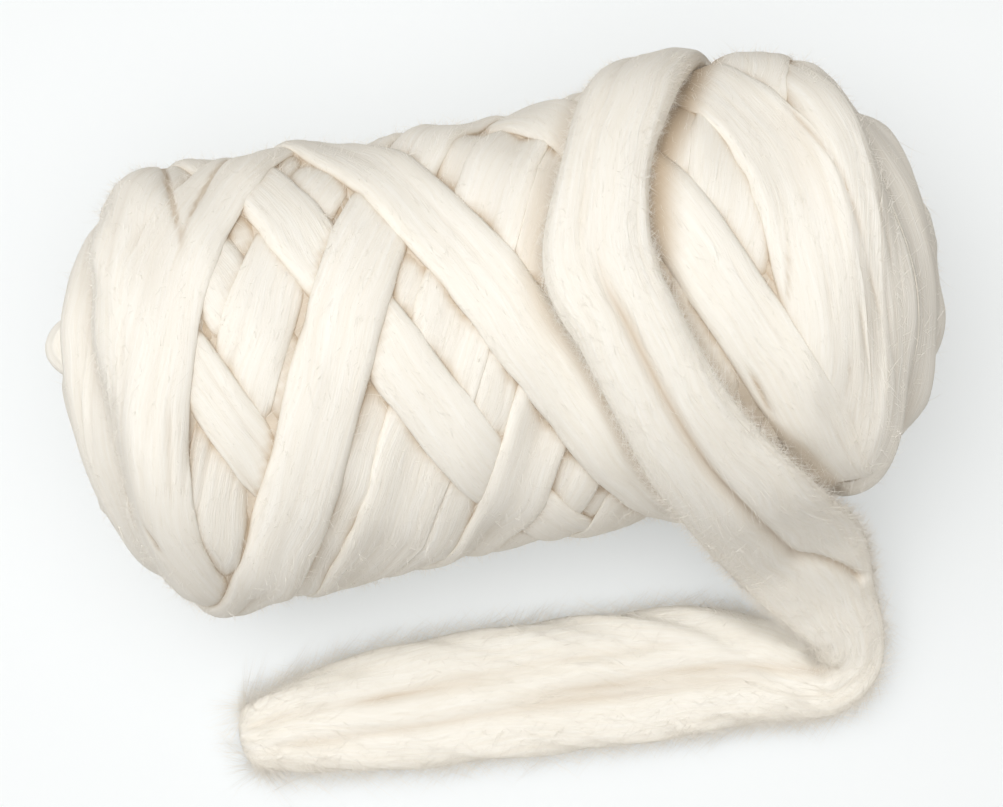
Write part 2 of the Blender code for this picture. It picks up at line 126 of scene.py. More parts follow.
def meridian():
    left_x, left_r = cap_points(CAP_LEFT, CAP_BEND_LEFT, 80)
    right_x, right_r = cap_points(CAP_RIGHT, CAP_BEND_RIGHT, 80)
    left_start, right_start = CAP_LEFT - LEFT_END, RIGHT_END - CAP_RIGHT
    barrel = np.linspace(left_start, right_start, 90)[1:-1]
    x = np.concatenate([left_start - left_x, barrel, (right_start + right_x)[::-1]])
    r = np.concatenate([left_r, np.full(barrel.size, END_RADIUS), right_r[::-1]])
    waist = (END_RADIUS - WAIST_RADIUS) * np.exp(-((x / WAIST_SPREAD) ** 2))
    r = np.maximum(r - waist * (r / END_RADIUS), 0.0)
    x = x - np.sign(x) * DIMPLE_DEPTH * (1.0 - smooth_step(r / DIMPLE_RADIUS))
    along = np.concatenate([[0.0], np.cumsum(np.hypot(np.diff(x), np.diff(r)))])
    return along - np.interp(0.0, x, along), x, r


ALONG, OUTLINE_X, OUTLINE_R = meridian()
LEFT_POLE, RIGHT_POLE = ALONG[0], ALONG[-1]


def radius_at(place):
    return np.interp(place, ALONG, OUTLINE_R)


def body_point(angle, place, lift):
    """A point `lift` metres outside the body, before the ball is set on the table."""
    ahead, behind = place + SLOPE_STEP, place - SLOPE_STEP
    x = np.interp(place, ALONG, OUTLINE_X)
    r = radius_at(place)
    tangent_x = np.interp(ahead, ALONG, OUTLINE_X) - np.interp(behind, ALONG, OUTLINE_X)
    tangent_r = radius_at(ahead) - radius_at(behind)
    size = np.hypot(tangent_x, tangent_r) + 1e-12
    out_x, out_r = -tangent_r / size, tangent_x / size * smooth_step(r / POLE_SOFTNESS)
    x, r = x + out_x * lift, r + out_r * lift
    turn = np.radians(angle)
    return np.stack([x, -r * np.sin(turn), r * np.cos(turn)], axis=-1)


print("meridian", round(float(LEFT_POLE), 4), "to", round(float(RIGHT_POLE), 4))

# %% [markdown]
# ## A height map that the passes pile up on
#
# Real roving takes the shape of whatever it is wound over. The map holds the height of the
# wound surface in cells of less than a millimetre. Laying a pass reads the map under it,
# smooths that into a bed, because a thick strand bridges small hollows, and then raises the
# map to the top of the strand. A simulation of fifty crossing strands would be slow and
# would not repeat; this gives the same nesting in a second.

# %% Height map
GRID_TURN, GRID_ALONG = 900, 640
ROVING_WIDTH, ROVING_THICKNESS = 0.030, 0.0095
EDGE_POWER, EDGE_ROUND = 3.0, 0.6
SPLICE = 14.0
LEAST_RADIUS, END_WIDTH, DRAPE = 0.012, 0.55, 0.6
ACROSS = np.linspace(-1.0, 1.0, 33)


def look_up(field, angle, place):
    u = (np.asarray(angle) / 360.0 * GRID_TURN) % GRID_TURN
    v = (np.asarray(place) - LEFT_POLE) / (RIGHT_POLE - LEFT_POLE) * GRID_ALONG - 0.5
    v = np.clip(v, 0.0, GRID_ALONG - 1.001)
    i, j = np.floor(u).astype(int), np.floor(v).astype(int)
    a, b = u - i, v - j
    i, k = i % GRID_TURN, (i + 1) % GRID_TURN
    return ((field[i, j] * (1 - a) + field[k, j] * a) * (1 - b)
            + (field[i, j + 1] * (1 - a) + field[k, j + 1] * a) * b)


def raise_field(field, angle, place, height):
    i = np.round(np.asarray(angle) / 360.0 * GRID_TURN).astype(int) % GRID_TURN
    j = np.round((place - LEFT_POLE) / (RIGHT_POLE - LEFT_POLE) * GRID_ALONG - 0.5).astype(int)
    j = np.clip(j, 0, GRID_ALONG - 1)
    np.maximum.at(field, (i.ravel(), j.ravel()), height.ravel())


print("map cells", GRID_TURN, "x", GRID_ALONG)


# %% Smoothing the map and the strips
def blur(field, metres):
    """Gaussian blur of the map, joined up round the ball and mirrored at its ends."""
    round_sigma = metres * GRID_TURN / (2.0 * math.pi * END_RADIUS)
    along_sigma = metres * GRID_ALONG / (RIGHT_POLE - LEFT_POLE)
    tall = np.concatenate([field[:, ::-1], field, field[:, ::-1]], axis=1)
    freq_round = np.fft.fftfreq(tall.shape[0])[:, None] * 2.0 * math.pi
    freq_along = np.fft.fftfreq(tall.shape[1])[None, :] * 2.0 * math.pi
    gain = np.exp(-0.5 * ((freq_round * round_sigma) ** 2 + (freq_along * along_sigma) ** 2))
    tall = np.real(np.fft.ifft2(np.fft.fft2(tall) * gain))
    return tall[:, field.shape[1]:2 * field.shape[1]]


def soften(values, half, axis):
    """Moving average along one axis of a strip."""
    width = 2 * half + 1
    pad = [(0, 0), (0, 0)]
    pad[axis] = (half + 1, half)
    sums = np.cumsum(np.pad(values, pad, mode="edge"), axis=axis)
    upper = np.take(sums, np.arange(width, sums.shape[axis]), axis=axis)
    lower = np.take(sums, np.arange(0, sums.shape[axis] - width), axis=axis)
    return (upper - lower) / width


def between(values, i, j, k, a, b):
    """Values at a share a of the way from rows i to i + 1, and a share b from columns j to k."""
    low = values[i][:, j] * (1 - b) + values[i][:, k] * b
    high = values[i + 1][:, j] * (1 - b) + values[i + 1][:, k] * b
    return low * (1 - a) + high * a


def resample(values, rows, columns):
    """Read a strip at fractional rows and columns."""
    i = np.clip(rows.astype(int), 0, values.shape[0] - 2)
    j = np.clip(columns.astype(int), 0, values.shape[1] - 2)
    return between(values, i, j, j + 1, (rows - i)[:, None], (columns - j)[None, :])


print("a cell is", round(2000.0 * math.pi * END_RADIUS / GRID_TURN, 2), "x",
      round(1000.0 * (RIGHT_POLE - LEFT_POLE) / GRID_ALONG, 2), "mm")

# %% [markdown]
# ## Soft random relief
#
# No two centimetres of roving are the same: the fibres gather in bundles that swell, fade
# and drift. One function gives smooth random numbers over a strip, from a seed, so that the
# ball comes out the same each time. The strip's length and width are in metres, so the
# bundles have a real size.

# %% Random relief
def wander(seed, along, across, along_step, across_step, wrap=0):
    """Smooth values from -1 to 1 over a strip; `wrap` joins its two long edges in that many cells."""
    a = (along - along.min()) / along_step
    b = (across - across.min()) / across_step
    rng = np.random.default_rng(seed)
    cells = rng.uniform(-1.0, 1.0, (int(a.max()) + 2, wrap or int(b.max()) + 2))
    i, j = np.floor(a).astype(int), np.floor(b).astype(int)
    j_wrapped, k = j % cells.shape[1], (j + 1) % cells.shape[1]
    return between(cells, i, j_wrapped, k, smooth_step(a - i)[:, None], smooth_step(b - j)[None, :])


def wobble(seed, along, step):
    """The same for a single line along a strand."""
    return wander(seed, along, np.array([0.0]), step, 1.0)[:, 0]


print("a wobble", wobble(1, np.linspace(0.0, 0.2, 5), 0.05).round(2))


# %% [markdown]
# ## The passes of the winding
#
# A machine or a patient pair of hands lays the strand to and fro, so a pass crosses the ball
# at a steep slant, turns round the shoulder and comes back. Each row below is one pass in
# the order of winding: its width and thickness as shares of the roving's, and the places
# that it goes through. The passes at the bottom of the pile follow a plain rule instead, and
# so do the turns and the flat spiral that close each end.

# %% Table of the passes
PASSES = (
    # name, width and thickness (shares), (degrees round the ball, mm along it) ...
    ("deep_1", 1.00, 1.00, (70, -160), (95, -163), (125, -145), (305, 0), (480, 135), (510, 152),
     (535, 152)),
    ("deep_2", 1.00, 1.00, (-35, -160), (-10, -163), (20, -150), (210, 0), (390, 139), (420, 152),
     (445, 152)),
    ("deep_3", 1.00, 1.00, (-90, 150), (-45, 162), (-20, 160), (5, 150), (195, 0), (370, -135),
     (400, -158), (425, -160)),
    ("right_rim_4", 1.20, 0.90, (-100, 120), (-60, 140), (-20, 167), (-5, 175), (14, 181), (36, 177),
     (53, 169), (90, 140), (130, 120)),
    ("right_rim_5", 1.35, 0.80, (-115, 148), (-60, 176), (-20, 194), (14, 202), (36, 201), (60, 193),
     (100, 170), (125, 150)),
    ("left_rim_3", 1.35, 0.70, (-115, -148), (-80, -170), (-39, -188), (-3, -199), (18, -203),
     (40, -203), (57, -198), (100, -175), (125, -155)),
    ("left_loop", 0.80, 1.00, (-122, -232), (-60, -231)),
    ("left_rim_2", 1.35, 0.80, (-110, -110), (-80, -130), (-39, -151), (-3, -167), (18, -177),
     (40, -180), (57, -176), (100, -145), (130, -125)),
    ("rise_6", 1.00, 1.00, (195, -160), (225, -162), (255, -148), (383, -51), (640, 140),
     (683, 156), (717, 161), (750, 157), (784, 144), (815, 120)),
    ("rise_8", 1.00, 1.00, (235, -160), (265, -160), (300, -143), (403, -66), (660, 132),
     (690, 144), (717, 145), (747, 142), (782, 135), (815, 112)),
    ("fall_1", 1.00, 1.00, (50, 139), (60, 131), (339, -79), (376, -110), (410, -135), (440, -150),
     (465, -152)),
    ("rise_1", 0.80, 1.00, (300, -164), (325, -159), (364, -125), (427, -82), (620, 68), (650, 92)),
    ("left_rim_1", 1.50, 0.80, (-120, -95), (-90, -110), (-45, -139), (-12, -149), (19, -156),
     (37, -159), (60, -156), (110, -120), (140, -100)),
    ("fall_2", 1.00, 1.00, (90, 158), (115, 150), (312, 0), (500, -145), (530, -160), (555, -160)),
    ("fall_7", 1.00, 1.00, (230, 158), (255, 148), (316, 100), (432, 6), (610, -135), (640, -158),
     (665, -160)),
    ("fall_5", 1.00, 1.00, (150, 158), (175, 152), (358, 17), (418, -26), (560, -140), (595, -160),
     (620, -160)),
    ("fall_4", 1.15, 1.00, (115, 158), (140, 150), (314, 22), (422, -61), (530, -145), (560, -160),
     (585, -160)),
    ("rise_2", 0.97, 1.05, (180, -160), (205, -164), (235, -150), (320, -86), (418, -8), (570, 120),
     (600, 145), (625, 152)),
    ("fall_6", 1.00, 1.00, (185, 158), (210, 150), (379, 23), (414, -3), (590, -140), (620, -160),
     (645, -160)),
    ("fall_8", 1.30, 0.95, (-130, 158), (-105, 152), (-21, 108), (308, -98), (334, -123),
     (360, -142), (395, -156), (430, -154), (460, -136)),
    ("right_rim_1", 1.20, 1.10, (560, 22), (675, 112), (697, 128), (727, 129), (764, 128),
     (780, 126), (830, 100)),
    ("rise_9", 1.05, 1.10, (80, -147), (110, -130), (140, -100), (352, 78), (382, 99), (414, 123),
     (438, 141)),
    ("fall_3", 1.10, 1.25, (115, 158), (140, 146), (290, -6), (339, -44), (420, -107), (475, -150),
     (500, -162), (525, -160)),
    ("rise_3", 1.08, 1.30, (135, -158), (160, -163), (190, -148), (359, -1), (540, 139), (570, 152),
     (600, 152)),
)


print("passes in the table", len(PASSES))

# %% Routes of the passes
TURN_SOFTNESS = 13.0
UNDER_PASSES, UNDER_STEP, UNDER_SWEEP, UNDER_PLACE = 10, 137.5, 440.0, 160.0


def pass_route(knots):
    """Angles (degrees) and places (metres) along one pass, with its bends rounded off."""
    knots = np.array(knots, dtype=float)
    angle = np.arange(knots[0, 0], knots[-1, 0] + 0.5, 1.0)
    first = (knots[1] - knots[0]) / (knots[1, 0] - knots[0, 0])
    last = (knots[-1] - knots[-2]) / (knots[-1, 0] - knots[-2, 0])
    reach = 3.0 * TURN_SOFTNESS
    knots = np.vstack([knots[0] - first * reach, knots, knots[-1] + last * reach])
    place, weights = np.zeros_like(angle), 0.0
    for offset in np.linspace(-2.5, 2.5, 21):
        weight = math.exp(-0.5 * offset * offset)
        place += weight * np.interp(angle + offset * TURN_SOFTNESS, knots[:, 0], knots[:, 1])
        weights += weight
    return angle, place / weights / 1000.0


def under_pass(number):
    side = 1 if number % 2 else -1
    start = number * UNDER_STEP
    return ((start - 25.0, side * UNDER_PLACE), (start, side * UNDER_PLACE),
            (start + UNDER_SWEEP, -side * UNDER_PLACE),
            (start + UNDER_SWEEP + 25.0, -side * UNDER_PLACE))


print("the first pass has", len(pass_route(PASSES[0][3:])[0]), "steps")

# %% Edges that melt into a neighbour
MERGED_EDGES = (
    # pass, degrees where its left edge starts and stops to melt away, and its right edge
    ("fall_8", (310, 480), None),
    ("rise_9", (405, 480), (395, 480)),
    ("left_rim_1", (-140, 160), (-44, 160)),
    ("left_rim_2", (-140, 160), (-140, 160)),
    ("left_rim_3", (-140, 160), (-140, 160)),
    ("right_rim_5", (-140, 160), (-140, 160)),
    ("right_rim_1", None, (680, 830)),
    ("rise_8", (690, 815), (660, 815)),
    ("rise_6", (690, 815), (660, 815)),
    ("right_rim_4", (-40, 120), (-80, 120)),
)
MELT_DEGREES = 14.0


def merging(name, angle):
    """How far each edge of a pass has melted into its neighbour: 0 crisp, 1 gone."""
    share = np.zeros((angle.size, 2))
    for merged, *edges in MERGED_EDGES:
        for side, edge in enumerate(edges):
            if merged == name and edge:
                window = (angle - edge[0]) / MELT_DEGREES, (edge[1] - angle) / MELT_DEGREES
                share[:, side] = smooth_step(window[0]) * smooth_step(window[1])
    return share


def section(offsets, merge):
    """Height of a strand's top across it, from 0 at its edges to 1."""
    offsets = offsets[None, :]
    crisp = (1.0 - np.abs(offsets) ** EDGE_POWER) ** EDGE_ROUND
    melted = 1.0 - smooth_step((np.abs(offsets) + 0.25) / 1.25)
    melted = melted / melted.max()
    share = np.where(offsets < 0.0, merge[:, :1], merge[:, 1:])
    return crisp * (1.0 - share) + melted * share


print("edges that melt", sum(edge is not None for row in MERGED_EDGES for edge in row[1:]))

# %% Turns and spirals at the ends
END_TURNS, END_TURN_FIRST, END_TURN_STEP, END_TURN_REACH = 7, 0.020, 0.0135, 125.0
END_TURN_ANGLES = (-95.0, 150.0, 35.0, -20.0, 110.0, -150.0, 5.0)
END_TURN_MELT, END_TURN_BEND, END_TURN_SWING = 0.7, 60.0, 0.016
EYE_START, EYE_PITCH, EYE_TURNS = 0.0085, 0.0125, 5.4
EYE_WIDTH, EYE_THICKNESS, EYE_MELT = 0.62, 0.6, 0.3


def end_turn_route(side, number):
    middle = END_TURN_ANGLES[number] + (40.0 if side < 0 else 0.0)
    pole = RIGHT_POLE if side > 0 else -LEFT_POLE
    furthest = pole - END_TURN_FIRST - number * END_TURN_STEP
    angle = middle + np.arange(-END_TURN_REACH, END_TURN_REACH, 1.0)
    swing = np.sqrt(((angle - middle) / END_TURN_BEND) ** 2 + 1.0) - 1.0
    return angle, side * (furthest - END_TURN_SWING * swing)


def eye_route(side):
    """A flat spiral round one pole, which closes the end of the ball under the end turns."""
    angle = np.arange(0.0, 360.0 * EYE_TURNS, 1.0)
    pole = RIGHT_POLE if side > 0 else -LEFT_POLE
    return angle, side * (pole - EYE_START - EYE_PITCH * angle / 360.0)


print("turns at each end", END_TURNS, "and a spiral of", EYE_TURNS, "turns")


# %% Laying one pass
def lay(field, angle, place, width, thickness, merge):
    """Lay one strip of roving over the map, and keep what its mesh needs later."""
    step_along = np.gradient(place)
    step_round = np.gradient(np.radians(angle)) * np.maximum(radius_at(place), LEAST_RADIUS)
    size = np.hypot(step_along, step_round)
    side_along, side_round = step_round / size, -step_along / size
    ends = np.minimum(angle - angle[0], angle[-1] - angle)
    taper = smooth_step(ends / (2.0 * SPLICE))
    half = 0.5 * width * (END_WIDTH + (1.0 - END_WIDTH) * taper)[:, None] * ACROSS[None, :]
    wide_place = place[:, None] + half * side_along[:, None]
    wide_angle = angle[:, None] + np.degrees(
        half * side_round[:, None] / np.maximum(radius_at(place), LEAST_RADIUS)[:, None])
    under = look_up(field, wide_angle, wide_place)
    bed = soften(soften(under, 7, 0), 6, 1)
    under = soften(soften(under, 2, 0), 1, 1)
    rise = thickness * taper[:, None] * section(ACROSS, merge)
    top = np.maximum(bed + rise, under + DRAPE * rise)
    rows = np.linspace(0, angle.size - 1, angle.size * 4)
    columns = np.linspace(0, ACROSS.size - 1, 97)
    raise_field(field, resample(wide_angle, rows, columns), resample(wide_place, rows, columns),
                resample(top, rows, columns))
    return {"angle": wide_angle, "place": wide_place, "bed": bed, "under": under,
            "top": top, "thickness": thickness * taper, "width": width, "merge": merge,
            "along": np.concatenate([[0.0], np.cumsum(size[1:])])}


# %% Winding the ball
def routes():
    """Every route in the order of winding, with the strand's width, thickness and melted edges."""
    for side in (-1, 1):
        yield eye_route(side), EYE_WIDTH, EYE_THICKNESS, EYE_MELT
    for side in (-1, 1):
        for number in range(END_TURNS):
            yield end_turn_route(side, number), 1.0, 1.0, END_TURN_MELT
    for number in range(UNDER_PASSES):
        yield pass_route(under_pass(number)), 1.0, 1.0, 0.0
    for name, width, thickness, *knots in PASSES:
        route = pass_route(knots)
        yield route, width, thickness, merging(name, route[0])


def wind():
    """Lay every route. The two spirals are laid first, but come last in the list of strips."""
    field, laid = np.zeros((GRID_TURN, GRID_ALONG)), []
    for (angle, place), width, thickness, merge in routes():
        merge = np.broadcast_to(merge, (angle.size, 2))
        laid.append(lay(field, angle, place, ROVING_WIDTH * width, ROVING_THICKNESS * thickness, merge))
    return field, laid[2:] + laid[:2]


winding, strips = wind()
print("strips laid", len(strips), "greatest pile", round(float(winding.max()) * 1000, 1), "mm")

# %% [markdown]
# ## Settling
#
# Where many passes cross, the wool packs down, so the ball stays smooth at arm's length and
# only the strands show. Taking a blurred copy of the map away from it does exactly that.
# The ball also sags on its underside, where the table presses it flat. A slack loop stands
# off its left end, and counts when the ball is centred.

# %% Settled heights, and the place on the table
SETTLING, PACKING, PROUD = 0.015, 0.42, 0.0006
LOOP_STANDS_OFF = 0.004
even = blur(winding, SETTLING)
map_angle = (np.arange(GRID_TURN) * 360.0 / GRID_TURN)[:, None]
map_place = LEFT_POLE + (np.arange(GRID_ALONG) + 0.5)[None, :] * (RIGHT_POLE - LEFT_POLE) / GRID_ALONG
bulge = SAG * np.exp(-((map_angle - 180.0) / SAG_ANGLE) ** 2)
bulge = bulge * (1.0 - smooth_step(np.abs(map_place) / SAG_REACH) ** 2)


def settle(lift, angle, place):
    """The height that a height of the pile packs down to."""
    return PACKING * (lift - look_up(even, angle, place)) + look_up(bulge, angle, place) + PROUD


settled = settle(winding, map_angle, map_place)
level = blur(settled, 0.010)
nearby = blur(settled, 0.0026)
spots = body_point(map_angle, map_place, settled).reshape(-1, 3)
spots_low = spots.min(axis=0) - np.array([LOOP_STANDS_OFF, 0.0, 0.0])
spots_middle = (spots_low + spots.max(axis=0)) / 2.0
to_table = np.array([spots_middle[0], spots_middle[1], -(END_RADIUS - FLAT_DEPTH)])
print("wound size", (spots.max(axis=0) - spots.min(axis=0)).round(4), "slid by", to_table.round(4))


def ball_point(angle, place, lift):
    """A point on the ball as it lies on the table; nothing goes below the table."""
    points = body_point(angle, place, lift) - to_table
    points[..., 2] = np.maximum(points[..., 2], 0.0)
    return points


# %% [markdown]
# ## From numbers to a mesh
#
# Every strand is a grid primitive rolled into a closed tube. Its last column of points lies
# on its first one and each end is drawn to a point, so merging doubles closes it all round.
# The UV map is in metres, across and along the fibres, so one material fits every strand.

# %% Points, faces and maps of a mesh
def vertex_points(mesh):
    points = np.empty(len(mesh.vertices) * 3)
    mesh.vertices.foreach_get("co", points)
    return points.reshape(-1, 3)


def face_outward(mesh):
    """Turn a closed mesh's faces outward: the volume that they bound is then positive."""
    mesh.calc_loop_triangles()
    corners = np.empty(len(mesh.loop_triangles) * 3, dtype=np.int32)
    mesh.loop_triangles.foreach_get("vertices", corners)
    a, b, c = vertex_points(mesh)[corners.reshape(-1, 3)].transpose(1, 0, 2)
    if np.einsum("ij,ij->", a, np.cross(b, c)) < 0.0:
        mesh.flip_normals()


def write_maps(mesh, across, along, painted_shade):
    """The UV map of the fibres and the mask of painted shade, from one value for each point."""
    corner = np.empty(len(mesh.loops), dtype=np.int32)
    mesh.loops.foreach_get("vertex_index", corner)
    flat = np.stack([across.reshape(-1)[corner], along.reshape(-1)[corner]], axis=-1)
    mesh.uv_layers[0].name = "fibres"
    mesh.uv_layers[0].data.foreach_set("uv", flat.reshape(-1))
    mask = mesh.attributes.new("painted_shade", "FLOAT", "POINT")
    mask.data.foreach_set("value", painted_shade.reshape(-1).astype(np.float32))


# %% Rolled-up grids
def rolled_grid(name, points, around, along, uv_start, painted_shade):
    """A grid primitive rolled into a closed tube: points and mask in arrays of rows x columns."""
    rows, columns = points.shape[:2]
    for end in (0, -1):
        points[end] = points[end].mean(axis=0)
    bpy.ops.object.select_all(action="DESELECT")
    bpy.ops.mesh.primitive_grid_add(x_subdivisions=columns - 1, y_subdivisions=rows - 1, size=1.0)
    piece = bpy.context.object
    piece.name = name
    mesh = piece.data
    mesh.vertices.foreach_set("co", points.reshape(-1))
    across = np.broadcast_to(around[None, :], (rows, columns)) + uv_start
    lengthwise = np.broadcast_to(along[:, None], (rows, columns)) + uv_start
    write_maps(mesh, across, lengthwise, painted_shade)
    bpy.ops.object.mode_set(mode="EDIT")
    bpy.ops.mesh.select_all(action="SELECT")
    bpy.ops.mesh.remove_doubles(threshold=1e-6)
    bpy.ops.object.mode_set(mode="OBJECT")
    face_outward(mesh)
    bpy.ops.object.shade_smooth()
    return piece


def join(name, pieces):
    bpy.ops.object.select_all(action="DESELECT")
    for piece in pieces:
        piece.select_set(True)
    bpy.context.view_layer.objects.active = pieces[0]
    if len(pieces) > 1:
        bpy.ops.object.join()
    joined = bpy.context.object
    joined.name = name
    joined.data.name = name
    print(name, len(joined.data.polygons), "faces")
    return joined


# %% [markdown]
# ## One strand
#
# A strand's section is a flat oval that rests in its bed. Its top carries bundles of fibre a
# few millimetres wide and now and then a split that runs along it for a hand's breadth. At
# the rims, where turns lie in layers, a few folds are pressed into whatever lies on top.
# Only the stretches that can be seen get a mesh: a strand that dives under others is left
# out until it comes up again. A mask keeps how deep each point lies below its surroundings,
# and the material paints deep points and undersides browner: painted shade.

# %% Stretches that show
BURIED = 0.0015
SHORTEST_RUN, RUN_MARGIN, THINNEST, SEEN_SHARE = 12, 17, 0.25, 0.03


def visible_runs(strip):
    """Ranges of rows where the strip lies at the top of the winding somewhere across it."""
    seen = strip["top"] > look_up(winding, strip["angle"], strip["place"]) - BURIED
    seen = seen[:, 2:-2].mean(axis=1) > SEEN_SHARE
    seen &= strip["thickness"] > THINNEST * strip["thickness"].max()
    grown = np.convolve(seen, np.ones(RUN_MARGIN), mode="same") > 0
    edges = np.flatnonzero(np.diff(np.concatenate([[False], grown, [False]]).astype(int)))
    return [(start, stop) for start, stop in zip(edges[::2], edges[1::2])
            if stop - start > SHORTEST_RUN]


print("stretches that show", sum(len(visible_runs(strip)) for strip in strips))

# %% Splits and folds
SPLIT_DEPTH, SPLIT_WIDTH, SPLIT_EVERY, SPLIT_REACH = 0.0014, 0.0010, 0.16, (0.03, 0.09)
SPLIT_ASIDE, SPLIT_DRIFT, SPLIT_DRIFT_LENGTH, SPLIT_LEAST = 0.75, 0.002, 0.06, 0.4
FOLDS = (
    # from (degrees, mm along), to (degrees, mm along), depth and width (mm)
    (-85, -133, -26, -121, 2.0, 1.3),
    (-90, -86, -26, -121, 2.0, 1.3),
    (12, -135, 38, -143, 0.8, 1.2),
    (20, -130, 36, -138, 0.6, 1.0),
    (45, -159, 54, -155, 2.0, 1.2),
    (-12, -147, 20, -158, 0.6, 1.4),
    (21, -174, 50, -173, 0.7, 1.4),
    (-33, 136, -10, 147, 1.2, 1.2),
    (-12, 146, 5, 150, 1.2, 1.5),
    (4, 119, 17, 115, 1.3, 1.2),
    (12, 151, 26, 155, 0.8, 1.2),
    (14, 160, 41, 159, 0.7, 1.2),
    (-5, 161, 12, 165, 0.7, 1.4),
    (18, 143, 40, 145, 0.7, 1.2),
    (32, 137, 43, 134, 1.0, 1.4),
    (9, 134, 24, 130, 0.7, 1.0),
    (32, 96, 45, 103, 1.5, 1.4),
)


def splits(seed, along, across, length):
    """Shallow creases that follow the strand for a while."""
    rng = np.random.default_rng(seed)
    depth = np.zeros((along.size, across.size))
    drift = SPLIT_DRIFT * wobble(seed + 5, along, SPLIT_DRIFT_LENGTH)
    for _ in range(1 + int(length / SPLIT_EVERY)):
        middle, reach = rng.uniform(0.0, length), rng.uniform(*SPLIT_REACH)
        centre = rng.uniform(-SPLIT_ASIDE, SPLIT_ASIDE) * across.max() + drift
        window = np.exp(-(((along - middle) / reach) ** 4))
        gap = np.abs(across[None, :] - centre[:, None]) / SPLIT_WIDTH
        depth += rng.uniform(SPLIT_LEAST, 1.0) * SPLIT_DEPTH * window[:, None] * np.exp(-gap ** 1.4)
    return depth


def folds(angle, place):
    """Creases pressed into whatever lies on top at that spot of the ball."""
    depth = np.zeros(angle.shape)
    for first_angle, first_place, last_angle, last_place, deep, wide in FOLDS:
        step_round = math.radians(last_angle - first_angle) * END_RADIUS
        step_along = (last_place - first_place) / 1000.0
        reach = math.hypot(step_round, step_along) / 2.0
        turn = (angle - (first_angle + last_angle) / 2.0 + 180.0) % 360.0 - 180.0
        u, v = np.radians(turn) * END_RADIUS, place - (first_place + last_place) / 2000.0
        ahead = (u * step_round + v * step_along) / (2.0 * reach * reach)
        aside = np.abs(u * step_along - v * step_round) / (2.0 * reach) / (wide / 1000.0)
        depth += deep / 1000.0 * np.exp(-ahead ** 4 - aside ** 1.4)
    return depth


print("folds", len(FOLDS))

# %% Painted shade in the creases
BROAD_SHADE, BROAD_DEPTH = 0.25, 0.0050
NEAR_SHADE, NEAR_DEPTH = 0.35, 0.0018
DEEP_SHADE, DEEP_START, DEEP_DEPTH = 0.60, 0.0006, 0.0022
VALLEY_SHADE, VALLEY_DEPTH = 0.12, 0.0009
FOLD_SHADE, FOLD_DEPTH = 0.45, 0.0030


def blurred(values, half):
    return soften(soften(values, half, 1), half, 0)


def painted_shade_mask(angle, place, height, relief, pressed):
    """Painted shade by how deep a point lies below what is round it: 0 in the open, 1 in a deep crease.
    """
    broad = look_up(level, angle, place) - height
    below = look_up(nearby, angle, place) - height
    valley = np.clip((blurred(relief, 3) - relief) / VALLEY_DEPTH, 0.0, 1.0)
    mask = (BROAD_SHADE * smooth_step(broad / BROAD_DEPTH) + NEAR_SHADE * smooth_step(below / NEAR_DEPTH)
            + DEEP_SHADE * smooth_step((below - DEEP_START) / DEEP_DEPTH))
    mask = mask + VALLEY_SHADE * valley + FOLD_SHADE * smooth_step(pressed / FOLD_DEPTH)
    return np.clip(mask, 0.0, 1.0)


print("deepest shade", round(BROAD_SHADE + NEAR_SHADE + DEEP_SHADE, 2), "before it is cut off at 1")

# %% One strand's mesh
TOP_COLUMNS = 35
UNDERSIDE = np.array([0.90, 0.55, 0.0, -0.55, -0.90])
ROW_STEP = 2.0
UNDER_GAP, UNDER_SHARE = 0.0030, 0.30
BUNDLE_HEIGHT, BUNDLE_WIDTH, BUNDLE_LENGTH = 0.00050, 0.0042, 0.070
THREAD_HEIGHT, THREAD_WIDTH, THREAD_LENGTH = 0.00022, 0.0021, 0.040
EDGE_RAGGED = 0.035
UV_STEP = 0.61


